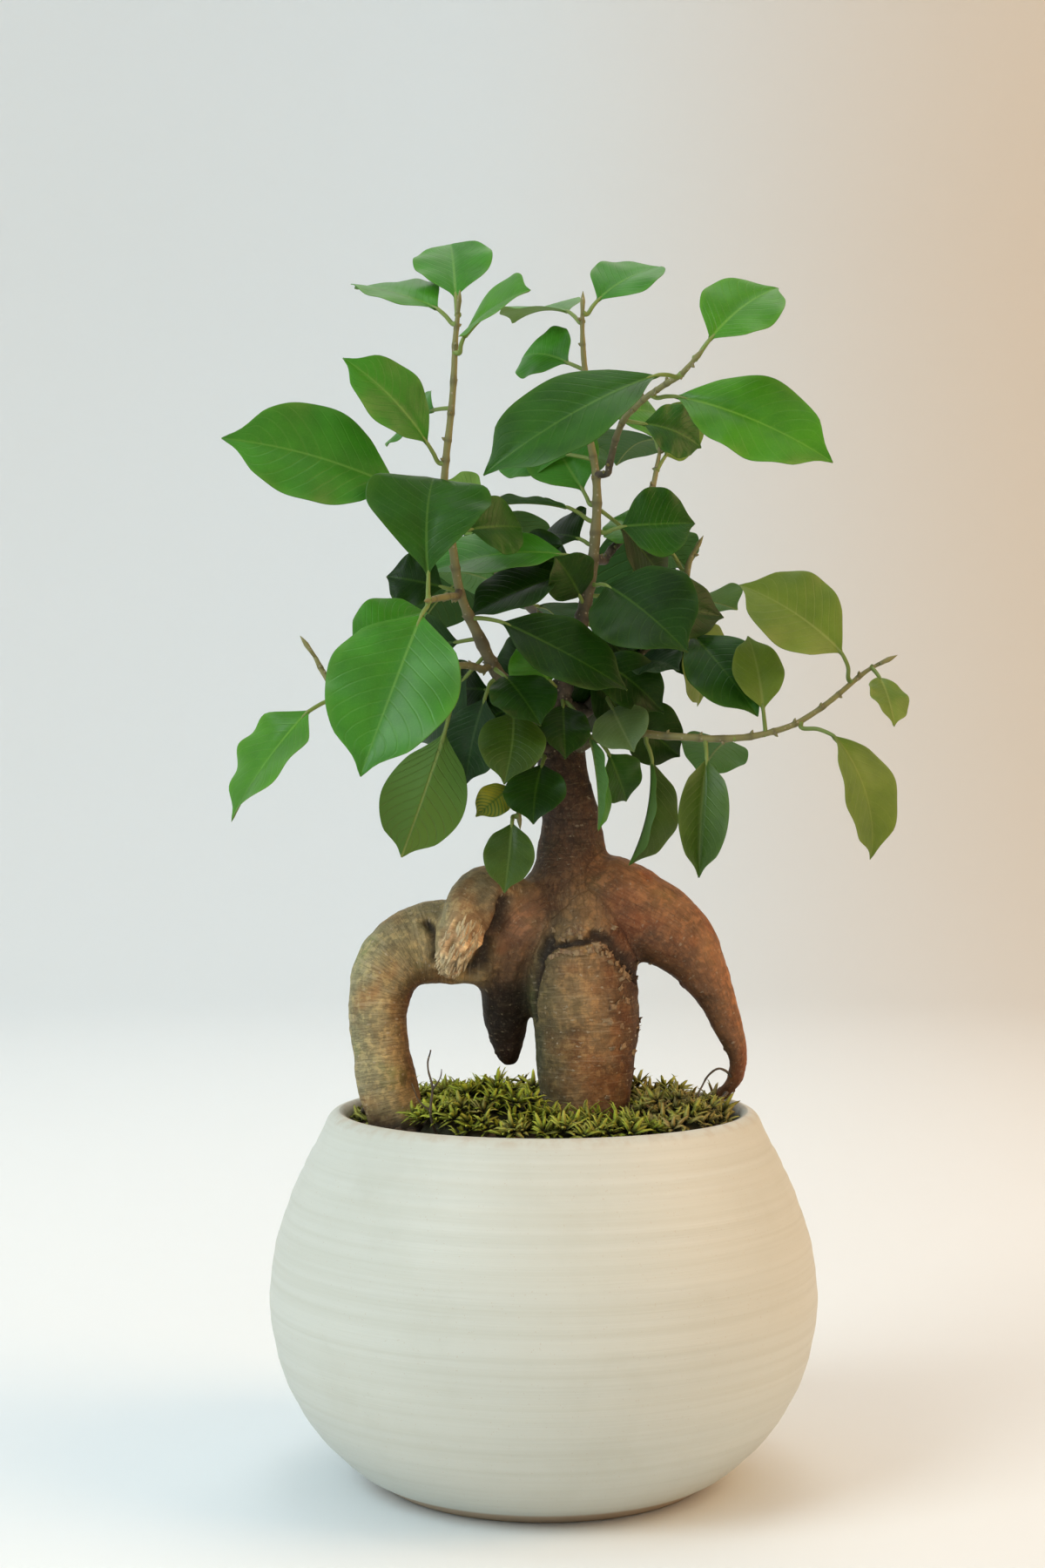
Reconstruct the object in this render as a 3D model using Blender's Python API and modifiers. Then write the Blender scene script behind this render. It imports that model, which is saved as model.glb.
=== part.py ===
"""A fig bonsai grown on exposed roots, in a round bellied ceramic pot.

The frame stands on the middle of the pot's base, with +Z up and -Y towards the tree's front.
The tables below are in millimetres, and every mesh is made in metres.
"""

import math
from dataclasses import dataclass

import bmesh
import bpy
from mathutils import Matrix, Vector

MM = 0.001
CLEARANCE = 0.3

# The pot, turned on the Z axis: radius and height down its outer side, and up its inner one.
POT_HEIGHT = 105.0
POT_MOUTH_RADIUS = 58.6
POT_OUTER = (
    (61.3, 103.4), (63.4, 99.0), (66.8, 92.5), (70.4, 85.0), (75.2, 72.0), (78.0, 56.0),
    (76.4, 39.0), (69.5, 22.0), (58.0, 8.5), (48.5, 2.0), (45.0, 0.0),
)
POT_FLOOR = 9.0
POT_INNER = (
    (46.0, 10.5), (54.0, 16.0), (62.0, 27.0), (68.4, 41.0), (70.0, 56.0), (67.4, 71.0),
    (62.4, 85.0), (58.0, 95.0), (56.2, 100.5), (56.6, 103.6),
)
POT_STEPS = 48
DRAIN_HOLES = 3
DRAIN_RADIUS = 3.5
DRAIN_CIRCLE = 20.0

# The soil fills the pot to just under its mouth, a little higher at the middle.
SOIL_EDGE_HEIGHT = 100.0
SOIL_EDGE_RADIUS = 55.3
SOIL_MIDDLE_HEIGHT = 102.0

# Moss cushions on the soil: middle, and half sizes across X, Y and Z.
MOSS = {
    "moss_left": ((-17.0, -24.0), (18.0, 14.0, 9.0)),
    "moss_right": ((35.0, -20.0), (12.0, 12.0, 6.0)),
}

# The stock: each limb's middle line, as X, Y, Z and radius. All of them grew together.
LIMBS = {
    "upper_trunk": (
        (12, -4, 152, 15), (8, -2, 164, 14), (8, 0, 173, 12), (8, 0, 180, 10),
        (8, 0, 188, 8.6), (6, 0, 198, 7.8), (5, 0, 207, 7.4), (4, 0, 213, 7),
    ),
    "centre_leg": (
        (11, -6, 160, 12), (11, -7, 154, 13.5), (11, -8, 146, 14.8), (12, -8, 131, 15.5),
        (12, -8, 116, 14), (12, -8, 104, 12.3), (12, -8, 92, 10),
    ),
    "left_arch": (
        (2, 0, 160, 12), (-8, 0, 155, 12), (-18, -2, 153, 12), (-30, -4, 153, 12.5),
        (-39, -6, 151, 11.4), (-45, -8, 144, 9.8), (-47, -10, 135, 8.8), (-46, -11, 124, 8.3),
        (-44, -12, 112, 8.6), (-41, -12, 101, 8.3), (-40, -12, 92, 7),
    ),
    "cut_stub": (
        (-10, -7, 167, 9), (-17, -13, 167, 8.2), (-21, -18, 162, 7.4), (-24, -20, 155, 6),
        (-26, -20, 148, 4.2), (-28, -19, 144, 2.6),
    ),
    "hanging_root": (
        (0, -4, 163, 10), (-7, -8, 158, 9.5), (-10, -6, 151, 8.2), (-11, -2, 141, 7.6),
        (-11, 2, 130, 6.6), (-10, 4, 121, 4.2), (-10, 5, 116, 2),
    ),
    "right_root": (
        (16, -2, 167, 13), (26, -4, 162, 12.5), (36, -5, 156, 11.5), (43, -5, 149, 9),
        (48, -4, 140, 6.6), (53, -2, 129, 4.7), (56, 1, 120, 3.5), (55, 5, 112, 3),
        (51, 9, 107, 2.7), (46, 13, 102, 2.4), (42, 16, 96, 2),
    ),
    "back_root": (
        (10, 8, 162, 10), (11, 20, 154, 8.5), (12, 28, 140, 7.2), (12, 31, 122, 6.6),
        (11, 32, 105, 6), (11, 32, 93, 5),
    ),
}
LIMB_ROUTE_STEPS = 3
LIMB_SIDES_LEVEL = 4
STOCK_VOXEL = 1.8
STOCK_SHARE_KEPT = 0.15

# The stems, root to tip, as X, Y, Z and radius.
STEMS = {
    "left_leader": (
        (-2, -5, 216, 2.6), (-7, -8, 222, 2.4), (-13, -11, 229, 2), (-19, -16, 241, 1.6),
        (-23, -21, 250, 1.3), (-25, -26, 261, 1.2), (-27, -32, 273, 1.1), (-27, -36, 284, 1),
        (-25, -41, 301, 0.9), (-24, -45, 316, 0.8), (-23, -47, 326, 0.5),
    ),
    "centre_leader": (
        (5, -1, 221, 3), (6, -1, 228, 2.6), (10, -4, 241, 2.2), (13, -6, 255, 1.8),
        (15, -6, 270, 1.5), (15, -6, 285, 1.2), (13, -8, 297, 1), (12, -10, 311, 0.9),
        (11, -12, 324, 0.7), (11, -12, 333, 0.5),
    ),
    "right_leader": (
        (18, -9, 286, 1), (20, -15, 294, 0.95), (23, -25, 300, 0.9), (30, -42, 304, 0.85),
        (36, -56, 306, 0.8), (39, -62, 309, 0.5),
    ),
    "right_twig": (
        (12, 4, 219, 1.9), (19, 5, 227, 1.6), (31, 6, 238, 1.3), (39, 5, 247, 1.1),
        (41, 3, 257, 1), (42, 2, 262, 0.9), (44, 2, 266, 0.5),
    ),
    "long_branch": (
        (13, -7, 210, 1.8), (20, -9, 213, 1.5), (30, -12, 212, 1.35), (43, -15, 211, 1.2),
        (57, -16, 211, 1.1), (71, -15, 215, 1), (80, -13, 221, 0.95), (89, -10, 228, 0.85),
        (93, -9, 231, 0.7), (97, -8, 233, 0.4),
    ),
    "left_twig": (
        (-17, -15, 230, 1.1), (-23, -20, 231, 1), (-35, -28, 229, 1), (-46, -34, 224, 0.95),
        (-55, -38, 223, 0.9), (-60, -38, 228, 0.8), (-62, -38, 232, 0.6), (-64, -38, 235, 0.4),
    ),
    "front_twig": (
        (-24, -24.5, 250, 1), (-26, -34, 249, 0.95), (-29, -42, 248, 0.9), (-31, -49, 247, 0.7),
    ),
    "low_spur": (
        (0, -9.5, 208, 1.2), (-4, -12, 203, 1.1), (-7, -14, 196, 0.9), (-7, -17, 189, 0.7),
    ),
    "back_left_twig": (
        (6, 4, 240, 1.4), (-4, 17, 250, 1.2), (-12, 28, 259, 1), (-18, 38, 270, 0.8),
        (-21, 44, 280, 0.5),
    ),
    "back_right_twig": (
        (17, -1, 262, 1.3), (23, 13, 270, 1.1), (30, 26, 280, 1), (34, 36, 290, 0.8),
        (36, 42, 301, 0.5),
    ),
}
STEM_ROUTE_STEPS = 2
STEM_SIDES_LEVEL = 1


@dataclass(frozen=True)
class Leaf:
    """A leaf: the stem it grows from and how far along, its tip, and the way its upper side looks.

    The stalk is a share of the leaf's length. The leaf points down by `bend` degrees where the
    stalk ends and by `curl` more at its tip, and each half of the blade rises by `fold`.
    """

    stem: str
    along: float
    tip: tuple
    face: tuple
    width: float
    stalk: float = 0.16
    bend: float = 25
    curl: float = 30
    fold: float = 14


LEAVES = (
    # The left leader and the twig at its front.
    Leaf("left_leader", 0.57, (-86, -50, 290), (0.1, -0.9, 0.4), 31, stalk=0.2, bend=5, curl=18),
    Leaf("front_twig", 1.0, (-30, -38, 281), (0, -1, 0.1), 34, stalk=0.1, bend=8, curl=80),
    Leaf("front_twig", 1.0, (-48, -66, 200), (-0.1, -1, 0.4), 36, stalk=0.08, curl=25),
    Leaf("left_leader", 0.66, (-54, -46, 312), (0.4, -0.8, 0.4), 20, bend=10),
    Leaf("left_leader", 0.96, (-52, -30, 334), (0.2, -0.6, 0.8), 25),
    Leaf("left_leader", 0.90, (-4, -66, 326), (0.1, -0.7, 0.7), 26),
    Leaf("left_leader", 0.98, (-26, -22, 348), (0, -0.9, 0.3), 22, bend=10),
    # The left twig.
    Leaf("left_twig", 0.80, (-32, -31, 245), (0, -0.7, 0.7), 19, stalk=0.3, bend=60),
    Leaf("left_twig", 0.76, (-84, -46, 188), (-0.7, -0.7, 0.4), 27, stalk=0.2, bend=25),
    Leaf("left_twig", 0.15, (-39, -34, 178), (0.2, 1, 0.2), 24, stalk=0.3, bend=35, curl=20),
    # The foot of the left leader.
    Leaf("left_leader", 0.14, (-22, -10, 198), (-0.3, -1, 0.2), 18, curl=15),
    Leaf("left_leader", 0.07, (-11, -30, 198), (0, -1, 0.3), 19, curl=20),
    Leaf("left_leader", 0.16, (-1, -30, 214), (0.4, -0.9, 0.3), 20, bend=8),
    Leaf("left_leader", 0.29, (23, -25, 224), (0.1, -0.9, 0.5), 21),
    # The centre leader, low to high.
    Leaf("centre_leader", 0.00, (15, -27, 185), (1, 0, 0.2), 13, stalk=0.3, curl=15, fold=30),
    Leaf("centre_leader", 0.04, (-7, -20, 238), (-0.3, -0.9, 0.3), 16, curl=10),
    Leaf("centre_leader", 0.31, (39, -34, 234), (0.1, -1, 0.3), 32, curl=40),
    Leaf("centre_leader", 0.32, (-21, -14, 245), (-0.2, -0.6, 0.8), 23),
    Leaf("centre_leader", 0.37, (-34, -12, 257), (0, -0.6, 0.8), 25, stalk=0.12, bend=10),
    Leaf("centre_leader", 0.41, (-1, 12, 270), (0, -0.8, 0.5), 24),
    Leaf("centre_leader", 0.44, (43, -7, 272), (0.1, -0.9, 0.4), 23, stalk=0.2),
    Leaf("centre_leader", 0.51, (1, 4, 302), (0, -1, 0.2), 22, bend=5, curl=10),
    Leaf("centre_leader", 0.47, (-19, 0, 277), (0, -0.1, 1), 18, stalk=0.2),
    Leaf("centre_leader", 0.96, (-9, 24, 335), (0, -0.4, 0.9), 23),
    Leaf("centre_leader", 0.98, (34, -2, 346), (0, -0.6, 0.8), 24),
    # The right leader.
    Leaf("right_leader", 0.88, (-16, -74, 277), (-0.2, -0.8, 0.6), 32, stalk=0.1, curl=40),
    Leaf("right_leader", 0.60, (76, -54, 283), (0.2, -0.9, 0.4), 32, stalk=0.12, curl=35),
    Leaf("right_leader", 1.0, (62, -50, 330), (0.1, -0.7, 0.7), 23),
    # The right twig.
    Leaf("right_twig", 0.32, (38, -15, 230), (0, -0.9, 0.6), 16),
    Leaf("right_twig", 0.12, (25, -21, 207), (-0.3, -0.8, 0.6), 17, stalk=0.4, bend=20),
    Leaf("right_twig", 0.62, (60, -16, 217), (0.3, -1, 0.4), 24, bend=10),
    Leaf("right_twig", 0.74, (46, 22, 221), (0.5, -0.8, 0.5), 24, bend=10, curl=20),
    Leaf("right_twig", 0.88, (20, 18, 276), (0, -0.8, 0.6), 20, stalk=0.3, bend=50),
    # The long branch to the right.
    Leaf("long_branch", 0.03, (24, 2, 193), (0.5, -1, 0.2), 16, curl=15),
    Leaf("long_branch", 0.19, (24, -14, 175), (0.9, -0.5, 0.2), 20, fold=40),
    Leaf("long_branch", 0.37, (43, -22, 172), (0.1, -1, 0.2), 18, stalk=0.12, fold=40),
    Leaf("long_branch", 0.66, (91, -20, 177), (0.8, -0.6, 0.2), 28, stalk=0.2, bend=50, curl=55),
    Leaf("long_branch", 0.87, (55, -14, 254), (-0.1, -0.8, 0.6), 28, stalk=0.22, bend=60),
    # The spur low on the trunk.
    Leaf("low_spur", 0.10, (-3, -27, 187), (-0.2, -1, 0.1), 18, curl=10),
    Leaf("low_spur", 0.60, (-19, -20, 189), (-0.1, -1, 0.2), 10, stalk=0.12, curl=15),
    Leaf("low_spur", 1.0, (-11, -26, 168), (-0.1, -1, 0.3), 16, stalk=0.1, curl=15),
    # The back twigs.
    Leaf("back_left_twig", 0.72, (-40, 56, 244), (-0.2, 0.8, 0.6), 27),
    Leaf("back_left_twig", 1.0, (-4, 76, 262), (0, 0.8, 0.7), 29, bend=45),
    Leaf("back_right_twig", 0.70, (22, 62, 238), (0.2, 1, 0.4), 27),
    Leaf("back_right_twig", 1.0, (24, 78, 300), (0, 0.4, 1), 27, bend=45),
)
LEAF_THICKNESS = 0.8
STALK_HALF_WIDTH = 0.65
STALK_ROWS = 2
BLADE_ROWS = 6
BLADE_COLUMNS = 2
TIP_HALF_WIDTH = 0.5


def clear_scene():
    for thing in list(bpy.data.objects):
        bpy.data.objects.remove(thing)


def new_collection(name):
    collection = bpy.data.collections.new(name)
    bpy.context.scene.collection.children.link(collection)
    return collection


def finish(name, colour, roughness, metallic=0.0):
    """A material with the base colour, roughness and metallic value of one finish."""
    material = bpy.data.materials.new(name)
    material.use_nodes = True
    shader = material.node_tree.nodes["Principled BSDF"]
    shader.inputs["Base Color"].default_value = (*colour, 1.0)
    shader.inputs["Roughness"].default_value = roughness
    shader.inputs["Metallic"].default_value = metallic
    return material


def put(name, data, material, collection, parent=None):
    """An object for this mesh or curve, dressed and linked."""
    thing = bpy.data.objects.new(name, data)
    data.materials.append(material)
    collection.objects.link(thing)
    thing.parent = parent
    return thing


def mesh_from(name, shape):
    """The mesh of this bmesh, shaded smooth with its sharp edges kept."""
    data = bpy.data.meshes.new(name)
    shape.to_mesh(data)
    shape.free()
    data.shade_smooth()
    data.set_sharp_from_angle(angle=math.radians(50))
    return data


def smooth_route(points, steps):
    """Points on a Catmull-Rom curve through these, which may carry a radius as their last value."""
    ends = [points[0], *points, points[-1]]
    route = []
    for before, start, stop, after in zip(ends, ends[1:], ends[2:], ends[3:]):
        for step in range(steps):
            t = step / steps
            route.append(tuple(
                b + 0.5 * t * (c - a + t * (2 * a - 5 * b + 4 * c - d + t * (3 * (b - c) + d - a)))
                for a, b, c, d in zip(before, start, stop, after)
            ))
    route.append(points[-1])
    return route


def turned(name, profile, material, collection, parent):
    """A profile of radius and height in millimetres, turned about the Z axis."""
    shape = bmesh.new()
    ring = [shape.verts.new((radius * MM, 0, height * MM)) for radius, height in profile]
    for upper, lower in zip(ring, ring[1:]):
        shape.edges.new((upper, lower))
    data = bpy.data.meshes.new(name)
    shape.to_mesh(data)
    shape.free()
    thing = put(name, data, material, collection, parent)
    screw = thing.modifiers.new("turn", "SCREW")
    screw.steps = POT_STEPS
    screw.render_steps = POT_STEPS
    screw.use_merge_vertices = True
    screw.merge_threshold = 0.00001
    screw.use_smooth_shade = True
    return thing


def tube(name, points, steps, sides_level, material, collection, parent=None):
    """A tapering tube along a route of X, Y, Z and radius in millimetres."""
    data = bpy.data.curves.new(name, "CURVE")
    data.dimensions = "3D"
    data.bevel_depth = MM
    data.bevel_resolution = sides_level
    data.use_fill_caps = True
    route = smooth_route(points, steps)
    line = data.splines.new("POLY")
    line.points.add(len(route) - 1)
    for point, (x, y, z, radius) in zip(line.points, route):
        point.co = (x * MM, y * MM, z * MM, 1)
        point.radius = radius
    return put(name, data, material, collection, parent)


def subtract(thing, cutter, name):
    cut = thing.modifiers.new(name, "BOOLEAN")
    cut.operation = "DIFFERENCE"
    cut.object = cutter


def as_cutter(thing):
    thing.hide_render = True
    thing.display_type = "WIRE"
    return thing


def make_pot(material, parts, cutters, parent):
    """The pot: a bellied shell with a rounded lip, a flat base and drain holes."""
    lip = ((POT_MOUTH_RADIUS, POT_HEIGHT),)
    profile = ((0, POT_FLOOR), *POT_INNER, *lip, *POT_OUTER, (0, 0))
    pot = turned("pot", profile, material, parts, parent)
    for number in range(DRAIN_HOLES):
        angle = math.tau * number / DRAIN_HOLES + math.pi / 2
        shape = bmesh.new()
        bmesh.ops.create_cone(
            shape, cap_ends=True, segments=16, depth=3 * POT_FLOOR * MM,
            radius1=DRAIN_RADIUS * MM, radius2=DRAIN_RADIUS * MM,
        )
        hole = put(f"drain_cutter_{number + 1}", mesh_from("drain", shape), material, cutters)
        hole.location = (
            DRAIN_CIRCLE * MM * math.cos(angle), DRAIN_CIRCLE * MM * math.sin(angle), 0,
        )
        subtract(pot, as_cutter(hole), f"drain_{number + 1}")
    return pot


def make_soil(material, parts, parent, socket):
    """The soil: it fills the pot inside its wall, with sockets where the roots go in."""
    inside = [
        (radius - 2 * CLEARANCE, height + CLEARANCE)
        for radius, height in reversed(POT_INNER) if height < SOIL_EDGE_HEIGHT
    ]
    rim = (SOIL_EDGE_RADIUS, SOIL_EDGE_HEIGHT)
    top = ((0, SOIL_MIDDLE_HEIGHT), (SOIL_EDGE_RADIUS / 2, SOIL_MIDDLE_HEIGHT - 0.5), rim)
    profile = (*top, *inside, (0, POT_FLOOR + CLEARANCE))
    soil = turned("soil", profile, material, parts, parent)
    subtract(soil, socket, "root_sockets")
    return soil


def make_moss(name, middle, sizes, material, parts, parent, socket):
    """A low cushion of moss, flat underneath and cut clear of the roots."""
    shape = bmesh.new()
    bmesh.ops.create_icosphere(shape, subdivisions=3, radius=1)
    for vertex in shape.verts:
        x, y, z = vertex.co
        vertex.co = (x * sizes[0] * MM, y * sizes[1] * MM, max(z, 0) * sizes[2] * MM)
    moss = put(name, mesh_from(name, shape), material, parts, parent)
    moss.location = (
        middle[0] * MM, middle[1] * MM, (SOIL_MIDDLE_HEIGHT + CLEARANCE) * MM,
    )
    subtract(moss, socket, "roots")
    return moss


def grown_together(name, limbs, grow, material, collection, parent=None):
    """All the limbs as one closed body, each tube melting into the next, swollen by `grow`."""
    shape = bmesh.new()
    for limb, points in limbs.items():
        line = tube(
            f"{name}_{limb}", points, LIMB_ROUTE_STEPS, LIMB_SIDES_LEVEL, material, collection,
        )
        bpy.context.view_layer.update()
        graph = bpy.context.evaluated_depsgraph_get()
        data = bpy.data.meshes.new_from_object(line.evaluated_get(graph))
        shape.from_mesh(data)
        bpy.data.meshes.remove(data)
        bpy.data.objects.remove(line)
    bmesh.ops.remove_doubles(shape, verts=shape.verts, dist=0.01 * MM)
    stock = put(name, mesh_from(name, shape), material, collection, parent)
    remesh = stock.modifiers.new("grown_together", "REMESH")
    remesh.mode = "VOXEL"
    remesh.voxel_size = STOCK_VOXEL * MM
    remesh.use_smooth_shade = True
    soften = stock.modifiers.new("soften", "SMOOTH")
    soften.factor = 0.5
    soften.iterations = 4
    thin_out = stock.modifiers.new("thin_out", "DECIMATE")
    thin_out.ratio = STOCK_SHARE_KEPT
    if grow:
        swell = stock.modifiers.new("swell", "DISPLACE")
        swell.mid_level = 0
        swell.strength = grow * MM
    return stock


def place_along(stem, along):
    """The point, the direction and the radius at this share of a stem's length."""
    route = smooth_route(STEMS[stem], 6)
    points = [Vector(point[:3]) for point in route]
    lengths = [(b - a).length for a, b in zip(points, points[1:])]
    left = along * sum(lengths)
    for i, length in enumerate(lengths):
        if left <= length or i == len(lengths) - 1:
            share = min(left / length, 1)
            radius = route[i][3] + share * (route[i + 1][3] - route[i][3])
            return points[i].lerp(points[i + 1], share), points[i + 1] - points[i], radius
        left -= length


def half_width(share, width):
    """Half the blade's width at this share of its length: oval, drawn out to a point."""
    oval = math.sin(math.pi * share ** 0.92) ** 0.8 if 0 < share < 1 else 0
    least = TIP_HALF_WIDTH + (STALK_HALF_WIDTH - TIP_HALF_WIDTH) * (1 - share)
    return max(0.5 * width * oval, least)


def row_stations(stalk):
    """Each row's share of the leaf's whole length: close together near the blade's ends."""
    stalk_part = [stalk * row / STALK_ROWS for row in range(STALK_ROWS + 1)]
    blade_part = []
    for row in range(1, BLADE_ROWS + 1):
        even = row / BLADE_ROWS
        blade_part.append(stalk + (1 - stalk) * 0.5 * (even + 0.5 - 0.5 * math.cos(math.pi * even)))
    return stalk_part + blade_part


def droop(share, leaf):
    """How far the leaf points below its first direction at this share of its length, in radians."""
    in_stalk = min(share / (1.3 * leaf.stalk), 1) ** 1.5
    in_blade = max(share - leaf.stalk, 0) / (1 - leaf.stalk)
    return math.radians(leaf.bend * in_stalk + leaf.curl * in_blade)


def midrib(leaf, reach):
    """The midrib in the leaf's own X-Z plane: each row's point and pitch, foot and tip on the X axis."""
    stations = row_stations(leaf.stalk)
    points = [Vector((0, 0, 0))]
    for start, stop in zip(stations, stations[1:]):
        pitch = droop((start + stop) / 2, leaf)
        points.append(points[-1] + (stop - start) * Vector((math.cos(pitch), 0, -math.sin(pitch))))
    lift = math.atan2(-points[-1].z, points[-1].x)
    level = Matrix.Rotation(-lift, 3, "Y")
    size = reach / points[-1].length
    return [
        (level @ point * size, lift - droop(station, leaf), station)
        for point, station in zip(points, stations)
    ]


def make_leaf(name, leaf, material, parts, parent):
    """One leaf: a folded, drooping sheet from the stalk's foot to the blade's tip, with thickness."""
    point, along, radius = place_along(leaf.stem, leaf.along)
    way = Vector(leaf.tip) - point
    clear = (way - way.project(along)).normalized() * (radius + STALK_HALF_WIDTH + CLEARANCE)
    foot = point + clear
    way = Vector(leaf.tip) - foot
    rows = midrib(leaf, way.length)
    shape = bmesh.new()
    bmesh.ops.create_grid(shape, x_segments=len(rows) - 1, y_segments=BLADE_COLUMNS, size=1)
    for vertex in shape.verts:
        row = round((vertex.co.x + 1) / 2 * (len(rows) - 1))
        side = round(vertex.co.y)
        middle, pitch, station = rows[row]
        in_blade = (station - leaf.stalk) / (1 - leaf.stalk)
        wide = side * half_width(max(in_blade, 0), leaf.width)
        fold = math.radians(leaf.fold) * side
        across = Vector((0, math.cos(fold), math.sin(fold))) * wide
        vertex.co = (middle + Matrix.Rotation(-pitch, 3, "Y") @ across) * MM
    thing = put(name, mesh_from(name, shape), material, parts, parent)
    ahead = way.normalized()
    face = Vector(leaf.face)
    up = (face - face.project(ahead)).normalized()
    turn = Matrix((ahead, up.cross(ahead), up)).transposed()
    thing.matrix_world = Matrix.Translation(foot * MM) @ turn.to_4x4()
    skin = thing.modifiers.new("thickness", "SOLIDIFY")
    skin.thickness = LEAF_THICKNESS * MM
    skin.offset = 0
    return thing


def main():
    clear_scene()
    parts = new_collection("bonsai")
    cutters = new_collection("cutters")
    cutters.hide_render = True
    frame = bpy.data.objects.new("bonsai_frame", None)
    parts.objects.link(frame)
    clay = finish("pale_ceramic", (0.72, 0.66, 0.54), 0.55)
    earth = finish("soil", (0.06, 0.04, 0.025), 0.95)
    moss_green = finish("moss", (0.16, 0.20, 0.05), 0.9)
    bark = finish("bark", (0.20, 0.13, 0.07), 0.8)
    shoot = finish("stem", (0.14, 0.13, 0.05), 0.7)
    leaf_green = finish("leaf", (0.05, 0.16, 0.03), 0.35)
    make_pot(clay, parts, cutters, frame)
    socket = as_cutter(grown_together("root_socket", LIMBS, CLEARANCE, bark, cutters))
    make_soil(earth, parts, frame, socket)
    for name, (middle, sizes) in MOSS.items():
        make_moss(name, middle, sizes, moss_green, parts, frame, socket)
    grown_together("trunk", LIMBS, 0, bark, parts, frame)
    for name, points in STEMS.items():
        tube(name, points, STEM_ROUTE_STEPS, STEM_SIDES_LEVEL, shoot, parts, frame)
    for number, leaf in enumerate(LEAVES, 1):
        make_leaf(f"leaf_{number:02d}", leaf, leaf_green, parts, frame)


main()
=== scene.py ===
"""The looks of a potted fig bonsai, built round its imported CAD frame.

Mesh code works in millimetres, in the frame's own axes: the origin is the middle of the pot's
base, +Z is up and -Y is the tree's front. Each sub-assembly is a class with its sizes as fields.
"""

import logging
import math
from dataclasses import dataclass, field
from enum import Enum
from typing import Iterable, Sequence

import bmesh
import bpy
import numpy as np
from bpy.types import ID, Material, Mesh, NodeSocket, Object
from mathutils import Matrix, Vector, noise
from mathutils.bvhtree import BVHTree


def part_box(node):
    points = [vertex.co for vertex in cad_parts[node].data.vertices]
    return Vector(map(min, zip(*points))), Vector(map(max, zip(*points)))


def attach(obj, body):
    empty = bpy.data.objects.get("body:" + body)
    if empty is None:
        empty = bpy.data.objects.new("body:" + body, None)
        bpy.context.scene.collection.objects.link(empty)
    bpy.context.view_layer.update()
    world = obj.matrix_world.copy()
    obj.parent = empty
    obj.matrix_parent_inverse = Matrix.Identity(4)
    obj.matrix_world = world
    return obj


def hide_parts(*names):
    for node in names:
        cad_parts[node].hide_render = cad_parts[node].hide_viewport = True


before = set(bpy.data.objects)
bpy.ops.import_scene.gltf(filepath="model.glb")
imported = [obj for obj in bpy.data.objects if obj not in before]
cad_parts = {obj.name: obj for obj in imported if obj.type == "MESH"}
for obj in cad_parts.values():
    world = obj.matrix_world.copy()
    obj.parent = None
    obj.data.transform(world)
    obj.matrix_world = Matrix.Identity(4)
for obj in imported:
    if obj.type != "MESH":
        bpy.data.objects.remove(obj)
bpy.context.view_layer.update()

MM = 0.001  # In metres.
GOLDEN_ANGLE = 2.4  # From one joint, or one blade of moss, to the next round its stem.
ROW_CORNERS = 6  # To a ring of a stem's solid, or to a row of a leaf's.
LOG = logging.getLogger("bonsai")
Array = np.ndarray
Colour = tuple[float, float, float]
Point = tuple[float, float, float]


# --- Shader writing ---


class Signal:
    """A socket of a shader's node tree that can be used in ordinary arithmetic."""

    def __init__(self, paint: "Paint", socket: NodeSocket) -> None:
        """Wrap one output socket.

        Args:
            paint: The material being written.
            socket: The output that holds the value.
        """
        self.paint = paint
        self.socket = socket

    def __add__(self, other: "Signal | float") -> "Signal":
        """The sum of the two values."""
        return self.paint.math("ADD", self, other)

    def __sub__(self, other: "Signal | float") -> "Signal":
        """This value less the other."""
        return self.paint.math("SUBTRACT", self, other)

    def __rsub__(self, other: float) -> "Signal":
        """The other value less this one."""
        return self.paint.math("SUBTRACT", other, self)

    def __mul__(self, other: "Signal | float") -> "Signal":
        """The product of the two values."""
        return self.paint.math("MULTIPLY", self, other)

    def __abs__(self) -> "Signal":
        """This value without its sign."""
        return self.paint.math("ABSOLUTE", self)

    __radd__ = __add__
    __rmul__ = __mul__

    def rise(self, low: float, high: float) -> "Signal":
        """A smooth step of this value.

        Args:
            low: Where the step is still 0.
            high: Where the step has reached 1. It may be below `low`, for a falling step.

        Returns:
            The step, from 0 to 1.
        """
        settings = {"interpolation_type": "SMOOTHSTEP", "clamp": True}
        if low < high:
            return self.paint.node("ShaderNodeMapRange", settings, {0: self, 1: low, 2: high})
        return 1 - self.paint.node("ShaderNodeMapRange", settings, {0: self, 1: high, 2: low})


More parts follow.
